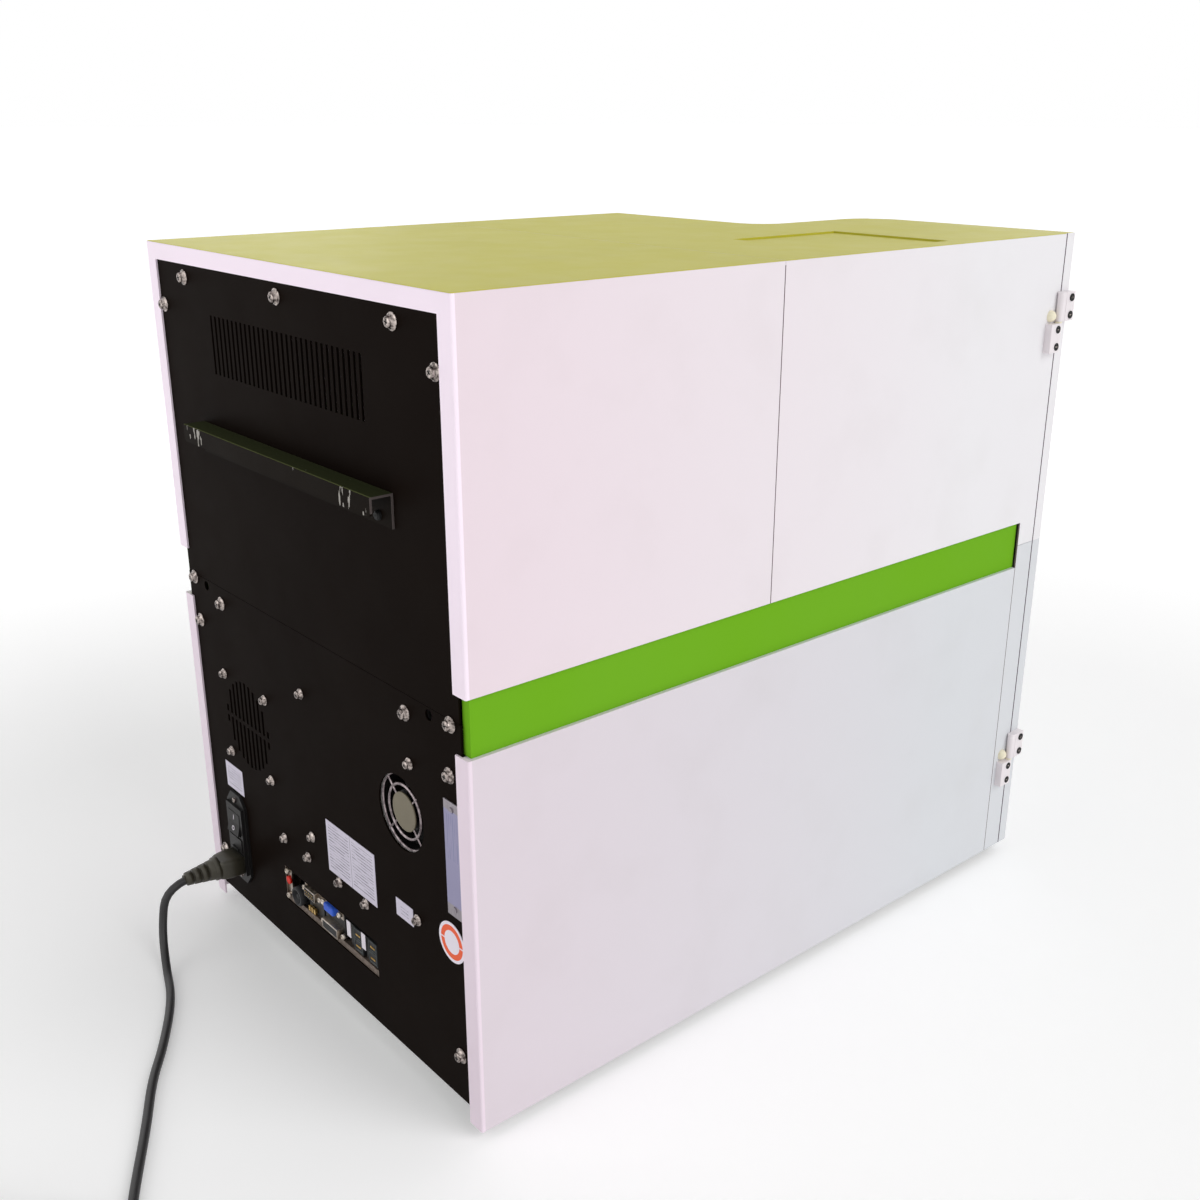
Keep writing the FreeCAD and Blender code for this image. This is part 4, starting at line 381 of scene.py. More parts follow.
# %% Connector in the inlet
def connector():
    edit = bmesh.new()
    x, z = INLET
    boxy(edit, span(x, 12.3), (301.8, 320), span(z, 7.9), 1.2)
    sections = [(318.8, 12.8, 8.8), (330, 12.6, 8.7), (336, 11.4, 8.4), (338.6, 9.8, 8.0)]
    rings = []
    for y, half_x, half_z in sections:
        ring = []
        for step in range(48):
            angle = 2 * math.pi * step / 48
            power = 0.3
            px = math.copysign(abs(math.cos(angle)) ** power, math.cos(angle)) * half_x
            pz = math.copysign(abs(math.sin(angle)) ** power, math.sin(angle)) * half_z
            ring.append(edit.verts.new(at(x + px, y, z - pz)))
        rings.append(ring)
    for first, second in zip(rings, rings[1:]):
        for step in range(48):
            after = (step + 1) % 48
            edit.faces.new((first[step], first[after], second[after], second[step])).smooth = True
    edit.faces.new(list(reversed(rings[0])))
    edit.faces.new(rings[-1])
    profile = [(337.4, 8.4), (338.2, 10.4), (341.6, 10.4), (342.4, 9.3)]
    for rib in range(4):
        y = 342.6 + rib * 6.5
        radius = 9.2 - rib * 0.95
        profile += [(y, radius), (y + 4.8, radius - 0.6), (y + 4.9, radius - 2.3), (y + 6.4, radius - 2.4)]
    profile.append((368.8, 4.2))
    turned(edit, (x, 0, z), "y", profile)
    bmesh.ops.recalc_face_normals(edit, faces=edit.faces)
    return keep("mains_connector_moulding", edit, moulding_rubber)


plug_socket = connector()
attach(plug_socket, "case")
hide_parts("mains_connector")


# %% [markdown]
# The wall plug is a solid block with a narrower neck, low grip ridges and three brass pins. Boxes with
# rounded edges are enough for it, because the real moulding has the same soft corners everywhere. The
# lead and the plug then ride on the case.

# %% Plug on the floor
def floor_plug():
    edit = bmesh.new()
    middle, centre = COIL_TOP, 5.0
    start, end = PLUG_START, PLUG_START + 38
    boxy(edit, (start + 8, end), span(middle, 17), span(centre, 13), 3, segments=3)
    boxy(edit, (start, start + 12), span(middle, 11), span(centre, 9), 3, segments=3)
    for rib in range(4):
        boxy(edit, (start + 14 + rib * 4, start + 15.6 + rib * 4), span(middle, 14),
             (centre + 12.5, centre + 13), 0.2)
    profile = [(start - 30, 4.4)]
    for rib in range(5):
        x = start - 29 + rib * 5.6
        radius = 4.6 + rib * 0.3
        profile += [(x, radius), (x + 3.4, radius), (x + 3.6, radius - 0.9), (x + 5.2, radius - 0.9)]
    profile.append((start + 2, 6))
    turned(edit, (0, middle, centre), "x", profile, 24)
    for y in (-7, 7):
        boxy(edit, (end - 1, end + 16), span(middle + y, 3.2), (7, 8.6), 0.3, 1)
    turned(edit, (0, middle, 0), "x", [(end - 1, 2.4), (end + 16, 2.4), (end + 19, 1.4)], 20, 1)
    bmesh.ops.recalc_face_normals(edit, faces=edit.faces)
    return keep("mains_plug_moulding", edit, moulding_rubber, pin_brass)


pin_finish = Finish("pin_brass", 0.3, 1.0)
brass_tone = pin_finish.noise(120, 3)
pin_finish.set("Base Color", pin_finish.mix(brass_tone, tint(196, 160, 92), tint(226, 196, 132)))
pin_brass = pin_finish.material
plug = floor_plug()
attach(plug, "case")
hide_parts("mains_plug")
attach(lead, "case")
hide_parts("mains_lead", "mains_lead_coil")

# %% [markdown]
# The floor is a plain pale surface that takes the soft contact shadow. It glows a little more with the
# distance, so that it runs into the white behind it without an edge. A broad soft sun and a few large
# lamps light the case from all round, so that the paint shows as it is painted. Rays that go to the
# camera, or that glossy and clear surfaces send on, see plain white beyond the floor.

# %% Floor
def floor_piece():
    edit = bmesh.new()
    bmesh.ops.create_grid(edit, x_segments=1, y_segments=1, size=60)
    for vertex in edit.verts:
        vertex.co.z = -0.0002
    finish = Finish("floor_white", 0.8)
    finish.set("Base Color", finish.mix(finish.noise(3, 2), (0.94, 0.94, 0.94), (0.95, 0.95, 0.95)))
    finish.shader.inputs["Specular IOR Level"].default_value = 0.1
    away = (finish.x * finish.x + finish.y * finish.y).root().ease(0.8, 2.4)
    finish.set("Emission Color", finish.mix(away, (0.2, 0.2, 0.2), (0.45, 0.45, 0.45)))
    finish.set("Emission Strength", 1.0)
    return keep("floor", edit, finish.material)


floor = floor_piece()
print("floor set")


# %% Lamps
def aim(piece, location, target):
    piece.location = location
    piece.rotation_euler = (Vector(target) - Vector(location)).to_track_quat("-Z", "Y").to_euler()
    bpy.context.scene.collection.objects.link(piece)


def lamp(name, location, size, power):
    data = bpy.data.lights.new(name, "AREA")
    data.shape = "RECTANGLE"
    data.size, data.size_y = size
    data.energy = power
    aim(bpy.data.objects.new(name, data), location, (0, 0, 0.25))


def sun(name, direction, strength, spread):
    data = bpy.data.lights.new(name, "SUN")
    data.energy = strength
    data.angle = math.radians(spread)
    aim(bpy.data.objects.new(name, data), direction, (0, 0, 0))


sun("soft_sun", (-1.0, -0.35, 0.78), 1.24, 45)
lamp("rear_light", (0.5, 2.3, 1.1), (1.8, 1.6), 9)
lamp("side_light", (-2.3, 0.2, 1.0), (1.8, 1.6), 1)
lamp("front_light", (0.4, -2.4, 1.1), (1.8, 1.6), 5)
lamp("far_light", (2.3, -0.2, 1.0), (1.8, 1.6), 6)


# %% World
def studio_world(glow):
    world = bpy.data.worlds.new("studio")
    bpy.context.scene.world = world
    world.use_nodes = True
    tree = world.node_tree
    tree.nodes.clear()
    rays = tree.nodes.new("ShaderNodeLightPath")
    total = rays.outputs["Is Camera Ray"]
    for other in ("Is Glossy Ray", "Is Transmission Ray"):
        added = tree.nodes.new("ShaderNodeMath")
        added.operation = "ADD"
        added.use_clamp = True
        tree.links.new(total, added.inputs[0])
        tree.links.new(rays.outputs[other], added.inputs[1])
        total = added.outputs[0]
    mixer = tree.nodes.new("ShaderNodeMixShader")
    tree.links.new(total, mixer.inputs[0])
    for place, strength in ((1, glow), (2, 1.0)):
        background = tree.nodes.new("ShaderNodeBackground")
        background.inputs["Color"].default_value = (1, 1, 1, 1)
        background.inputs["Strength"].default_value = strength
        tree.links.new(background.outputs[0], mixer.inputs[place])
    output = tree.nodes.new("ShaderNodeOutputWorld")
    tree.links.new(mixer.outputs[0], output.inputs["Surface"])


studio_world(0.42)
bpy.context.scene.view_settings.view_transform = "Standard"
print("a sun, four lamps and a white world")

# %% [markdown]
# The case is steel sheet with a fine-textured paint. Its colour drifts: a warm lilac white at the
# rear flanges, lighter on the upper ones as painted light, plain white towards the front, a cooler
# grey on the lower walls and a khaki top that has yellowed in the light. One material for each sheet
# would make the colour jump at every seam, so all of it is one paint whose colour follows the place on
# the case. The gap beside the door and the two upright seams of the side hold a dark line of painted
# shade, where shade falls into the gaps.

# %% Paints
REAR_FACE = at(0, 312, 0).y
TOP_FACE = at(0, 0, 576.8).z
DOOR_GAP = at(0, -304.3, 0).y
HOOD_SEAM = at(0, 41.3, 0).y
PILLAR_SEAM = at(0, -280.8, 0).y
OUTER_FACE = at(-209.6, 0, 0).x
LID = at(-131.5, -107, 0)
BAND = (at(0, 0, 290).z, at(0, 0, 332).z)


def wall_tone(finish):
    """White above the band, grey below, both warmer to the rear; lilac flanges with painted light above."""
    above = finish.z > (BAND[0] + BAND[1]) / 2
    depth = finish.y.ease(-0.2, 0.3)
    upper = finish.mix(depth, tint(234, 232, 235), tint(234, 218, 226))
    lower = finish.mix(depth, tint(216, 218, 222), tint(222, 211, 219))
    # Painted light: the flange above the band is tinted lighter than the one below, standing in for light
    # on it.
    flange_with_painted_light = finish.mix(above, tint(240, 224, 236), tint(255, 240, 253))
    return finish.mix(finish.y > REAR_FACE, finish.mix(above, lower, upper), flange_with_painted_light)


def top_share(finish):
    """1 on the level top and on the edges of the lid that is let into it."""
    lid = ((finish.x - LID.x).size() < 60.5 * MM) * ((finish.y - LID.y).size() < 63 * MM)
    return (finish.z > TOP_FACE - 2 * MM) * (finish.upward() + lid > 0.7)


def seam_shade_share(finish):
    """1 along the seam between the hoods and along the one beside the front pillar, for painted shade."""
    hood = ((finish.y - HOOD_SEAM).size() < 0.45 * MM) * (finish.z > BAND[1]) * (finish.z < TOP_FACE)
    pillar = ((finish.y - PILLAR_SEAM).size() < 0.4 * MM) * (finish.z < BAND[1])
    return (hood + pillar).least(1)


def case_paint():
    finish = Finish("case_paint", 0.42)
    finish.shader.inputs["Specular IOR Level"].default_value = 0.2
    top = finish.mix(finish.noise(5, 2), tint(192, 186, 52), tint(203, 196, 70))
    whole = finish.mix(top_share(finish), wall_tone(finish), top)
    # Painted shade: the gap beside the door and the side's two seams are tinted dark where shade falls into
    # them.
    gap_shade = ((finish.y - DOOR_GAP).size() < 0.7 * MM) * (finish.x < OUTER_FACE)
    whole = finish.mix(gap_shade, whole, tint(92, 78, 92))
    whole = finish.mix(seam_shade_share(finish), whole, tint(126, 108, 114))
    grime = finish.noise(14, 5).ease(0.5, 0.9) * 0.08
    finish.set("Base Color", finish.mix(grime, whole, tint(150, 140, 125)))
    finish.set("Roughness", 0.38 + finish.noise(40, 4) * 0.14)
    finish.bump(finish.noise(700, 3), 0.12, 0.0003)
    return finish.material


def satin_paint(name, colour, dust, roughness, amount):
    """Paint with fine texture, a thin film of dust and a few rubbed places."""
    finish = Finish(name, roughness)
    film = finish.noise(9, 6).ease(0.35, 0.85) * amount
    finish.set("Base Color", finish.mix(film, colour, dust))
    finish.shader.inputs["Specular IOR Level"].default_value = 0.008
    finish.set("Roughness", roughness - 0.06 + finish.noise(30, 4) * 0.16)
    finish.bump(finish.noise(900, 3), 0.10, 0.0003)
    return finish.material


# %% [markdown]
# The hooked rail is handled whenever a tray is hung on it, so its black paint is rubbed through near
# both ends of its lip. Noise that is stretched along the height and cut at a threshold gives short
# upright scratches. The rail's level faces carry an olive painted reflection, lighter on the lip's top
# as a painted highlight, and its sawn end is grey.

# %% Rail paint
RAIL_ENDS = (at(-135, 0, 0).x, at(139, 0, 0).x)
LIP_FACE = at(0, 329.2, 0).y


def rail_paint():
    finish = Finish("rail_paint", 0.4)
    finish.shader.inputs["Specular IOR Level"].default_value = 0.012
    from_end = (finish.x - RAIL_ENDS[0]).size().least((finish.x - RAIL_ENDS[1]).size())
    marked = from_end.ease(0.003, 0.008) * (1 - from_end.ease(0.030, 0.045)) * (finish.y > LIP_FACE)
    wear = (finish.noise(260, 4, (1, 1, 0.3)) + marked * 0.14) > 0.74
    film = finish.noise(12, 5).ease(0.35, 0.9) * 0.10
    level_reflection = finish.upward() > 0.7
    paint = finish.mix(film, tint(22, 17, 13), tint(56, 48, 40))
    # Painted reflection: level faces are tinted olive, and the lip's top lighter still as a painted
    # highlight.
    paint = finish.mix(level_reflection, paint, tint(50, 54, 34))
    paint = finish.mix(level_reflection * (finish.y > LIP_FACE), paint, tint(104, 110, 70))
    paint = finish.mix(finish.x < RAIL_ENDS[0] + 0.4 * MM, paint, tint(92, 84, 82))
    finish.set("Base Color", finish.mix(wear, paint, tint(150, 146, 140)))
    finish.set("Metallic", wear * 0.7)
    finish.set("Roughness", 0.34 + finish.noise(35, 4) * 0.18)
    finish.bump(finish.noise(900, 3), 0.10, 0.0003)
    return finish.material


# %% [markdown]
# Metals differ by how they were worked. Zinc-coated sheet shows crystals, which are the cells of a
# Voronoi texture. Turned steel and machined aluminium have a fine grain, and lead is soft, dull and
# mottled. One noise drives colour, roughness and bump together, so that a worn spot is worn in all three.

# %% Metals
def zinc():
    finish = Finish("zinc_sheet", 0.35, 0.9)
    crystals = finish.node("ShaderNodeTexVoronoi", "Color", inputs={"Vector": finish.place, "Scale": 140.0})
    flake = finish.node("ShaderNodeRGBToBW", "Val", inputs={"Color": crystals})
    finish.set("Base Color", finish.mix(flake, tint(168, 170, 170), tint(206, 207, 203)))
    finish.set("Roughness", 0.28 + flake * 0.2)
    return finish.material


def metal(name, dark, light, roughness, stretch=None, scale=300):
    finish = Finish(name, roughness, 1.0)
    lines = finish.noise(scale, 4, stretch)
    finish.set("Base Color", finish.mix(lines.ease(0.35, 0.65), dark, light))
    finish.set("Roughness", roughness - 0.06 + lines * 0.14)
    finish.bump(lines, 0.08, 0.0002)
    return finish.material


def lead_metal():
    finish = Finish("shield_metal", 0.6, 0.7)
    patches = finish.noise(22, 6)
    finish.set("Base Color", finish.mix(patches, tint(92, 96, 102), tint(142, 146, 152)))
    finish.set("Roughness", 0.45 + finish.noise(60, 5) * 0.3)
    finish.bump(finish.noise(120, 5), 0.3, 0.0005)
    return finish.material


# %% [markdown]
# Plastics, glass, boards and label film. The photomultipliers have a smoky glass bulb. The boards have
# green solder mask over copper tracks that run mostly one way.

# %% Plastics, glass and boards
def plastic(name, low, high, roughness, grain=600):
    finish = Finish(name, roughness)
    finish.set("Base Color", finish.mix(finish.noise(35, 4), low, high))
    finish.set("Roughness", roughness - 0.06 + finish.noise(50, 3) * 0.12)
    finish.shader.inputs["Specular IOR Level"].default_value = 0.25
    finish.bump(finish.noise(grain, 3), 0.12, 0.0003)
    return finish.material


def smoky_glass():
    finish = Finish("tube_glass", 0.08)
    finish.set("Base Color", finish.mix(finish.noise(30, 3), tint(120, 96, 66), tint(160, 134, 96)))
    finish.set("Roughness", 0.05 + finish.noise(50, 2) * 0.06)
    finish.shader.inputs["Transmission Weight"].default_value = 0.6
    finish.shader.inputs["Coat Weight"].default_value = 0.5
    return finish.material


def solder_mask():
    finish = Finish("board", 0.3)
    tracks = (finish.x.wrap(0.0016) < 0.0004) * (finish.noise(70, 1, (1, 0.2, 1)) > 0.5)
    cells = finish.node("ShaderNodeTexVoronoi", "Distance", inputs={"Vector": finish.place, "Scale": 260.0})
    pads = cells < 0.16
    mask = finish.mix(tracks, tint(22, 88, 52), tint(40, 120, 72))
    green = finish.mix(pads, mask, tint(196, 190, 170))
    socket = (finish.z > at(0, 0, 60.0).z) * (finish.y > at(0, 280, 0).y)
    finish.set("Base Color", finish.mix(socket, green, tint(26, 27, 28)))
    finish.set("Roughness", 0.25 + finish.noise(40, 3) * 0.15 + socket * 0.15)
    return finish.material


# %% [markdown]
# The films on the rear are left blank of words. They keep the printed layout of such films: a dividing
# line and a few grey rules where lines of text would be. The round one has a ring in two parts. The
# rating plate is a riveted aluminium strip with a pale printed field. A picture could hold such prints,
# but masks made of sums and products stay sharp from any distance.

# %% Label film
def within(finish, centre, half_x, half_z):
    """1 inside a rectangle on the rear face and 0 outside it."""
    return ((finish.x - centre.x).size() < half_x * MM) * ((finish.z - centre.z).size() < half_z * MM)


def film():
    finish = Finish("label_film", 0.35)
    wide, inlet = at(-45.1, 0, 141.95), at(151.3, 0, 135)
    small, spot = at(-119.75, 0, 135.75), at(-180, 0, 141.3)
    rows = (finish.z.wrap(0.0013) < 0.0004) * (finish.noise(90, 0, (1, 1, 26)) > 0.44)
    columns = ((finish.x - wide.x).size() > 2.5 * MM) * within(finish, wide, 32.5, 19)
    printed = rows * (columns + within(finish, inlet, 12.5, 9) + within(finish, small, 5, 4))
    divide = within(finish, wide, 0.25, 22)
    paper = finish.mix(finish.noise(30, 3), tint(206, 199, 216), tint(218, 212, 228))
    ruled = finish.mix((printed + divide).least(1), paper, tint(120, 114, 130))
    across, up = finish.x - spot.x, finish.z - spot.z
    distance = (across * across + up * up).root()
    white = finish.mix(distance < 15.6 * MM, ruled, tint(240, 232, 244))
    ring = (distance > 8.9 * MM) * (distance < 13.1 * MM) * (up.size() > 0.5 * MM)
    finish.set("Base Color", finish.mix(ring, white, tint(244, 84, 4)))
    finish.set("Roughness", 0.3 + finish.noise(60, 3) * 0.12)
    return finish.material


# %% Rating plate
def rating_finish():
    finish = Finish("rating_plate_metal", 0.35, 0.8)
    centre = at(-186.75, 0, 209.25)
    field = within(finish, centre, 8.75, 36)
    rules = (finish.x.wrap(0.0011) < 0.0003) * (finish.noise(80, 0, (26, 1, 1)) > 0.5)
    rules = rules * within(finish, centre + Vector((0, 0, 0.016)), 6.5, 17)
    brushed = finish.noise(500, 3, (1, 1, 0.05))
    bare = finish.mix(brushed, tint(132, 124, 130), tint(176, 170, 176))
    blank = finish.mix(finish.noise(20, 3), tint(140, 136, 170), tint(154, 150, 184))
    finish.set("Base Color", finish.mix(field, bare, finish.mix(rules, blank, tint(120, 122, 160))))
    finish.set("Metallic", 0.8 - field * 0.8)
    finish.set("Roughness", 0.3 + brushed * 0.16)
    return finish.material


# %% [markdown]
# One table makes the finishes and another gives each CAD piece its finish, so a piece is dressed anew
# by moving one word. The last line prints any piece that was forgotten.

# %% Finishes on the CAD pieces
FINISHES = {
    "case_paint": case_paint(),
    "green_paint": satin_paint("green_paint", tint(112, 175, 34), tint(150, 176, 110), 0.4, 0.05),
    "black_paint": satin_paint("black_paint", tint(20, 14, 11), tint(48, 40, 34), 0.42, 0.08),
    "rail_paint": rail_paint(),
    "zinc": zinc(),
    "steel": metal("bright_steel", tint(150, 150, 152), tint(210, 210, 208), 0.28),
    "wire": metal("guard_wire", tint(104, 94, 96), tint(168, 156, 158), 0.3),
    "aluminium": metal("aluminium", tint(176, 178, 180), tint(212, 213, 214), 0.36),
    "lead": lead_metal(),
    "black_plastic": plastic("black_plastic", tint(15, 14, 14), tint(25, 23, 23), 0.45),
    "white_enamel": plastic("hinge_enamel", tint(228, 220, 224), tint(240, 234, 236), 0.35),
    "nylon": plastic("nylon", tint(238, 230, 200), tint(244, 238, 214), 0.45),
    "glass": smoky_glass(),
    "board": solder_mask(),
    "film": film(),
    "rating": rating_finish(),
    "feet": rubber("foot_rubber", tint(40, 39, 38), 0.7),
    "belt": rubber("belt_rubber", tint(30, 30, 32), 0.6),
}
PIECES = {
    "case_paint": "side_panel_left side_panel_right front_pillar hood_rear hood_front bay_wall top_lid "
                  "front_panel_right door_panel",
    "green_paint": "trim_bands",
    "black_paint": "rear_panel_lower rear_panel_upper",
    "rail_paint": "rear_rail",
    "zinc": "base_plate mid_deck frame_posts front_frame bay_floor door_pan power_supply io_tray "
            "high_voltage_supply",
    "steel": "guide_rods y_screw elevator_screw_left elevator_screw_right latch_magnets panel_screws",
    "wire": "small_fan_guard",
    "aluminium": "rod_brackets cross_slide carriage drive_pulley idler_pulley elevator_left elevator_right "
                 "stack_racks detector_bridge",
    "lead": "detector_shields",
    "black_plastic": "power_entry fuse_drawer rocker_switch fan_frames large_fan_rotor small_fan_rotor "
                     "drive_motors x_motor",
    "white_enamel": "hinge_leaves_body hinge_leaves_door",
    "nylon": "hinge_buffers",
    "glass": "photomultipliers",
    "board": "circuit_boards",
    "film": "labels",
    "rating": "rating_plate",
    "feet": "feet",
    "belt": "x_belt",
}
for finish_name, names in PIECES.items():
    for name in names.split():
        slots = nodes[name].data.materials
        slots.clear()
        slots.append(FINISHES[finish_name])
left_over = set(nodes) - {name for names in PIECES.values() for name in names.split()}
print("not in the table:", sorted(left_over))

# %% [markdown]
# The panel screws are all alike: a washer under a pan head with a cross recess, shown as two dark bars
# of painted shade. The rail's two are black. One screw of each size is turned from its profile, and a
# small node tree sets a copy on every hole with its own turn, because no two screws stop with their
# slots the same way.

# %% Repeats
def repeater():
    """A node tree that puts a turned copy of one piece on every point of a mesh."""
    tree = bpy.data.node_groups.new("set_on_points", "GeometryNodeTree")
    face = tree.interface
    face.new_socket("Geometry", in_out="INPUT", socket_type="NodeSocketGeometry")
    for label, kind in (("Piece", "NodeSocketObject"), ("Seed", "NodeSocketInt"),
                        ("Turn", "NodeSocketFloat"), ("Finish", "NodeSocketMaterial")):
        face.new_socket(label, in_out="INPUT", socket_type=kind)
    face.new_socket("Geometry", in_out="OUTPUT", socket_type="NodeSocketGeometry")

    def add(kind, **settings):
        made = tree.nodes.new(kind)
        for name, value in settings.items():
            setattr(made, name, value)
        return made

    source, result = add("NodeGroupInput"), add("NodeGroupOutput")
    points = add("GeometryNodeMeshToPoints")
    info = add("GeometryNodeObjectInfo", transform_space="ORIGINAL")
    chance = add("FunctionNodeRandomValue", data_type="FLOAT")
    turn, copies = add("ShaderNodeCombineXYZ"), add("GeometryNodeInstanceOnPoints")
    real, finish = add("GeometryNodeRealizeInstances"), add("GeometryNodeSetMaterial")
    link = tree.links.new
    link(source.outputs["Geometry"], points.inputs["Mesh"])
    link(source.outputs["Piece"], info.inputs["Object"])
    link(source.outputs["Seed"], chance.inputs["Seed"])
    link(source.outputs["Turn"], chance.inputs[3])
    link(chance.outputs[1], turn.inputs["Y"])
    link(points.outputs[0], copies.inputs["Points"])
    link(info.outputs["Geometry"], copies.inputs["Instance"])
    link(turn.outputs[0], copies.inputs["Rotation"])
    link(copies.outputs[0], real.inputs[0])
    link(real.outputs[0], finish.inputs["Geometry"])
    link(source.outputs["Finish"], finish.inputs["Material"])
    link(finish.outputs[0], result.inputs[0])
    return tree


REPEATER = repeater()


def repeat(name, places, master, material, seed=1, turn=math.pi):
    """Copies of the master, which is drawn at the origin, as one plain mesh."""
    edit = bmesh.new()
    for place in places:
        edit.verts.new(at(*place))
    holder = keep(name + "_points", edit)
    modifier = holder.modifiers.new("copies", "NODES")
    modifier.node_group = REPEATER
    chosen = {"Piece": master, "Seed": seed, "Turn": turn, "Finish": material}
    for item in REPEATER.interface.items_tree:
        if item.in_out == "INPUT" and item.name in chosen:
            modifier[item.identifier] = chosen[item.name]
    bpy.context.view_layer.update()
    mesh = bpy.data.meshes.new_from_object(holder.evaluated_get(bpy.context.evaluated_depsgraph_get()))
    mesh.name = name
    piece = bpy.data.objects.new(name, mesh)
    bpy.context.scene.collection.objects.link(piece)
    bpy.data.objects.remove(holder)
    bpy.data.objects.remove(master)
    return piece


# %% Screw masters
ORIGIN = Vector((0, 0, 0)) - DRAWING


def pan_screw(name, washer, head, rise):
    """A washer on the origin with a domed head, along +Y."""
    edit = bmesh.new()
    profile = [(-0.1, washer), (0.7, washer), (0.8, washer - 0.2), (0.8, head + 0.7), (1.9, head + 0.6),
               (2.0, head), (2.0 + rise * 0.6, head)]
    for step in range(1, 6):
        angle = math.pi / 2 * step / 5
        profile.append((2.0 + rise * (0.6 + 0.4 * math.sin(angle)), head * (0.6 + 0.4 * math.cos(angle))))
    turned(edit, ORIGIN, "y", profile, 28)
    bmesh.ops.recalc_face_normals(edit, faces=edit.faces)
    return keep(name, edit)


def cross_recess_shade(name, head, level_reflection, axis="y"):
    """Two shallow dark bars that cross on top of a head, painted shade for the cross recess."""
    edit = bmesh.new()
    for long, thin in ((head * 0.5, head * 0.12), (head * 0.12, head * 0.5)):
        boxy(edit, span(ORIGIN.x, long), (ORIGIN.y + level_reflection - 0.3, ORIGIN.y + level_reflection + 0.06),
             span(ORIGIN.z, thin), 0)
    return keep(name, edit)


# %% Screws in place
PANEL = 313.5
fan_pitch = 71.5 / 2
small_places = [(114.5 + i * fan_pitch, PANEL, 197.5 + j * fan_pitch) for i in (-1, 1) for j in (-1, 1)]
small_places += [(-61 + i * 76, PANEL, 199 + j * 61.5) for i in (-1, 1) for j in (-1, 1)]
small_places += [(x, PANEL, 115) for x in (-64, -24.5, 24.5, 64)]
rail_places = [(x, PANEL + 1.5, 431.5) for x in (-119, 123)]
large_places = [(side * 186, PANEL, z) for side in (-1, 1) for z in (51, 271)]
large_places += [(-135, PANEL, 297.5), (142, PANEL, 297.5)]
large_places += [(side * 189.4, PANEL, z) for side in (-1, 1) for z in (308.5, 533)]
large_places += [(x, PANEL, 557) for x in (-145, 2, 149)]
entry_places = [(150.5, PANEL + 2.3, 78.5 + side * 36.5) for side in (-1, 1)]
screw_steel = metal("screw_steel", tint(66, 58, 56), tint(192, 180, 174), 0.26, scale=420)
# One dark finish: the real black of the rail screws, and painted shade in the recesses of the screws.
black_and_shade = plastic("black_and_shade", tint(18, 18, 19), tint(32, 32, 32), 0.6)

SCREWS = (
    ("small", small_places, 4.4, 3.0, 2.4, screw_steel),
    ("large", large_places, 5.8, 3.7, 2.6, screw_steel),
    ("entry", entry_places, 2.4, 1.6, 0.3, screw_steel),
    ("rail", rail_places, 3.4, 2.6, 0.8, black_and_shade),
)

hardware = []
for label, places, washer, head, rise, material in SCREWS:
    seed = len(hardware) + 3
    heads = repeat(f"{label}_screws", places, pan_screw("master", washer, head, rise), material, seed)
    cross = cross_recess_shade("master", head, 2.0 + rise)
    crosses = repeat(f"{label}_recesses", places, cross, black_and_shade, seed)
    hardware += [heads, crosses]


# %% [markdown]
# Each hinge leaf is held by two countersunk screws. Their heads are dark inside with a bright spot
# where the light falls in. A shallow turned cup in a dark finish is the painted shade, and a small
# bright bar is the painted highlight. The screws of the door's leaves move with the door, so they
# are pieces of their own.

# %% Hinge screws
HINGE_FACE = -216.3


# Painted shade: the head is a shallow dark cup for the shade inside the screw.
def hinge_screw(name):
    edit = bmesh.new()
    turned(edit, ORIGIN, "x", [(0.3, 3.1), (-0.35, 3.3), (-0.55, 2.9), (-0.2, 2.2)], 24)
    return keep(name, edit)


# Painted highlight: a small bar of bright steel where the light falls into the head.
def painted_glint(name):
    edit = bmesh.new()
    boxy(edit, (ORIGIN.x - 0.5, ORIGIN.x), span(ORIGIN.y, 1.3), span(ORIGIN.z, 0.5), 0.1)
    return keep(name, edit)


HINGE_TOPS = (506.5, 94.0)
fixed_places = [(HINGE_FACE, -296.3, top - 12.25 + side * 7.3) for top in HINGE_TOPS for side in (-1, 1)]
door_places = [(HINGE_FACE - 0.3, -312.0, top + 1.3 + 12.25 + side * 7.3) for top in HINGE_TOPS
               for side in (-1, 1)]
for label, places, body in (("fixed", fixed_places, "case"), ("moving", door_places, "door")):
    for piece in (repeat(f"{label}_hinge_screws", places, hinge_screw("master"), black_and_shade, 1, 0.0),
                  repeat(f"{label}_hinge_slots", places, painted_glint("master"), screw_steel, 1, 0.0)):
        if body == "case":
            hardware.append(piece)
        else:
            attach(piece, body)
for piece in hardware:
    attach(piece, "case")
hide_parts("panel_screws")
print(len(small_places + large_places + entry_places + rail_places), "panel screws")


# %% [markdown]
# The connector opening shows the rear edge of the computer board. From the left, seen from behind:
# the power sockets' black stack, paper strips, a serial and a display connector with jack screws, a
# connector in a folded metal shell, and a round socket. Each is built from its real parts: shell,
# insert, screws and contacts. A bent lip of bare metal closes the opening below and at one end.

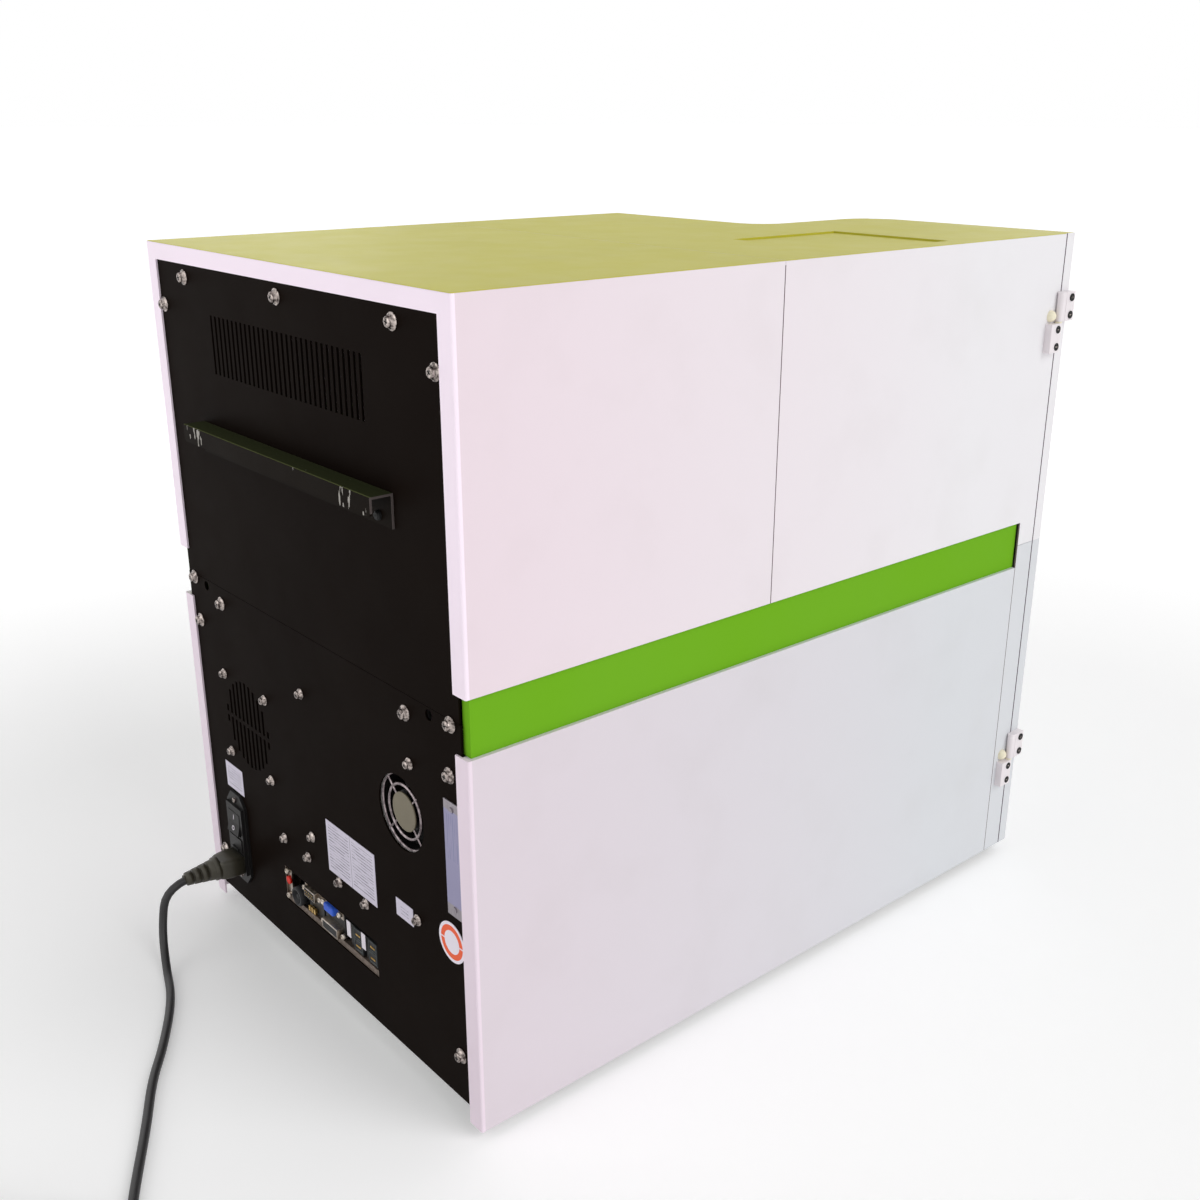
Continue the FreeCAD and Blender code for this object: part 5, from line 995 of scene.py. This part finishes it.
# %% Connectors
EDGE = 310.0
DATA_SOCKETS = (-45, -66.5)
connector_metal = metal("connector_metal", tint(150, 140, 128), tint(206, 196, 186), 0.34, scale=120)
display_blue = plastic("display_blue", tint(40, 84, 200), tint(60, 108, 224), 0.4)
socket_black = plastic("socket_black", tint(20, 20, 22), tint(40, 40, 42), 0.45)
paper = plastic("paper_strip", tint(226, 218, 228), tint(240, 234, 240), 0.6)
dot_red = plastic("dot_red", tint(206, 28, 16), tint(226, 44, 28), 0.5)
socket_rim = metal("socket_rim", tint(52, 58, 58), tint(98, 104, 104), 0.4)
lip_metal = metal("lip_metal", tint(104, 92, 84), tint(138, 124, 114), 0.5)
contact_gold = metal("contact_gold", tint(176, 136, 60), tint(222, 186, 110), 0.3)


def parts(name, material, slot, boxes=(), rounds=(), body="case", bevel=0.3):
    """One piece from boxes (x, y, z spans) and turned shapes (place, axis, profile)."""
    edit = bmesh.new()
    for x, y, z in boxes:
        boxy(edit, x, y, z, bevel)
    for place, axis, profile in rounds:
        turned(edit, place, axis, profile, 28)
    bmesh.ops.recalc_face_normals(edit, faces=edit.faces)
    piece = keep(name, edit, material)
    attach(piece, body)
    return piece


def jack(x, z, y=EDGE):
    """A hexagonal jack screw, as a turned shape with a threaded hole's rim."""
    return ((x, 0, z), "y", [(y - 1, 2.4), (y + 3.6, 2.4), (y + 4.0, 2.0), (y + 4.0, 1.3), (y + 2.6, 1.2)])


SERIAL, DISPLAY, SHELLED = (26.0, 80.0), (-5.0, 81.5), (-6.0, 64.5)
parts("connector_plates", connector_metal, "bright_steel", [
    (span(SERIAL[0], 15.4), (EDGE - 1, EDGE + 0.8), span(SERIAL[1], 5.4)),
    (span(SERIAL[0], 8.4), (EDGE, EDGE + 5.5), span(SERIAL[1], 4.0)),
    (span(DISPLAY[0], 15.4), (EDGE - 1, EDGE + 0.8), span(DISPLAY[1], 4.6)),
    (span(SHELLED[0], 12.0), (EDGE - 2, EDGE + 6), span(SHELLED[1], 4.2)),
    ((63.0, 69.8), (EDGE - 0.5, EDGE + 1.5), (56, 86))],
    [jack(SERIAL[0] - 12.5, SERIAL[1]), jack(SERIAL[0] + 12.5, SERIAL[1]),
     jack(DISPLAY[0] - 12.5, DISPLAY[1]), jack(DISPLAY[0] + 12.5, DISPLAY[1]),
     jack(SHELLED[0] - 15.5, SHELLED[1] - 1), jack(SHELLED[0] + 15.5, SHELLED[1] - 1),
     jack(66, 83, EDGE + 1), jack(66, 60, EDGE + 1)])
parts("opening_lip", lip_metal, "bright_steel", [
    ((-75.5, 70), (311.9, 312.6), (54.6, 60.0)), ((-75.5, 70), (297, 312.6), (59.7, 60.3)),
    ((69.4, 70.3), (300, 313.2), (54.8, 86.2))], bevel=0.1)
parts("connector_inserts", socket_black, "black_plastic", [
    (span(SERIAL[0], 7.6), (EDGE + 4, EDGE + 5.7), span(SERIAL[1], 3.3)),
    (span(SHELLED[0], 10.9), (EDGE + 4, EDGE + 6.1), span(SHELLED[1], 3.2))])
parts("display_insert", display_blue, "black_plastic", [
    (span(DISPLAY[0], 7.4), (EDGE, EDGE + 5.8), span(DISPLAY[1], 3.4))], bevel=1.2)
parts("serial_contacts", contact_gold, "bright_steel", [
    (span(SERIAL[0] + step * 2.8, 0.5), (EDGE + 5.5, EDGE + 6.0), span(SERIAL[1] + row * 1.4, 0.5))
    for step in (-2, -1, 0, 1, 2) for row in (-1, 1)] + [
    (span(28 + step * 4, 1.4), (EDGE + 1, EDGE + 3), (61.5, 66)) for step in (-1, 0, 1)], bevel=0)
parts("round_socket", socket_black, "black_plastic", (), [
    ((47.5, 0, 68), "y", [(EDGE - 4, 8.4), (EDGE + 5.6, 8.4), (EDGE + 6.2, 7.8), (EDGE + 6.2, 6.2),
                          (EDGE + 2.5, 6.0), (EDGE + 2.5, 2.2), (EDGE + 5.2, 2.0)])])
parts("data_sockets", socket_black, "black_plastic", [
    (span(x, 6.4), (EDGE - 4, EDGE + 2.2), (61, 82)) for x in DATA_SOCKETS], bevel=0.5)
level_rims = [(span(x, 5.6), (EDGE + 2, EDGE + 2.5), (z, z + 0.8))
              for x in DATA_SOCKETS for z in (63, 71.2, 73, 81)]
upright_rims = [(span(x + side * 5.3, 0.4), (EDGE + 2, EDGE + 2.5), (63, 81.6))
                for x in DATA_SOCKETS for side in (-1, 1)]
parts("data_socket_rims", socket_rim, "bright_steel", level_rims + upright_rims, bevel=0.1)
tongues = [(span(x, 3.2), (EDGE + 2.2, EDGE + 2.6), (z, z + 1.2))
           for x in DATA_SOCKETS for z in (66, 76)]
parts("data_tongues", contact_gold, "bright_steel", tongues, bevel=0.1)
parts("paper_strips", paper, "label_film", [
    (span(x, 2.9), (EDGE + 3.4, EDGE + 3.7), (70.5, 84.5)) for x in (-33.5, -55.5)], bevel=0)
parts("red_dot", dot_red, "label_film", (), [
    ((66, 0, 74), "y", [(EDGE + 1.4, 3.5), (EDGE + 3.2, 3.5), (EDGE + 3.4, 3.1)])])


# %% [markdown]
# The rocker's two ends carry the usual line and circle in white. They could be painted on, but as
# small raised shapes they keep their edge when seen close. They lean as the rocker does at rest, and
# ride on it.

# %% Rocker marks
ROCKER = Vector((150.5, 313.0, 93.5))


def rocker_marks():
    edit = bmesh.new()
    centre = Vector((ROCKER.x, ROCKER.y + 5.95, ROCKER.z))
    boxy(edit, span(centre.x, 0.35), (centre.y - 0.2, centre.y + 0.9), span(centre.z + 5.2, 2.1), 0)
    ring = []
    for step in range(28):
        angle = 2 * math.pi * step / 28
        ring.append([edit.verts.new(at(centre.x + radius * math.cos(angle), centre.y + depth,
                                       centre.z - 5.0 + radius * math.sin(angle)))
                     for radius, depth in ((1.4, 1.0), (2.1, 1.0), (2.1, 0.2), (1.4, 0.2))])
    for first, second in zip(ring, ring[1:] + ring[:1]):
        for corner in range(4):
            after = (corner + 1) % 4
            edit.faces.new((first[corner], first[after], second[after], second[corner]))
    bmesh.ops.recalc_face_normals(edit, faces=edit.faces)
    turn = Matrix.Rotation(math.radians(7), 4, "X")
    pivot = at(*ROCKER)
    for vertex in edit.verts:
        vertex.co = pivot + turn @ (vertex.co - pivot)
    return keep("rocker_marks", edit, paper)


marks = rocker_marks()
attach(marks, "rocker")


# %% [markdown]
# The small fan's guard carries a round plate over its crossing. It is a flat disc with a worn edge,
# turned from three points.

# %% Guard plate
SMALL_FAN = (-122.0, 216.5)
guard_plate = plastic("guard_plate", tint(110, 102, 84), tint(128, 120, 100), 0.4)
parts("guard_plate", guard_plate, "black_plastic", (), [
    ((SMALL_FAN[0], 0, SMALL_FAN[1]), "y", [(310.1, 14.8), (310.9, 14.8), (311.2, 14.3)])])
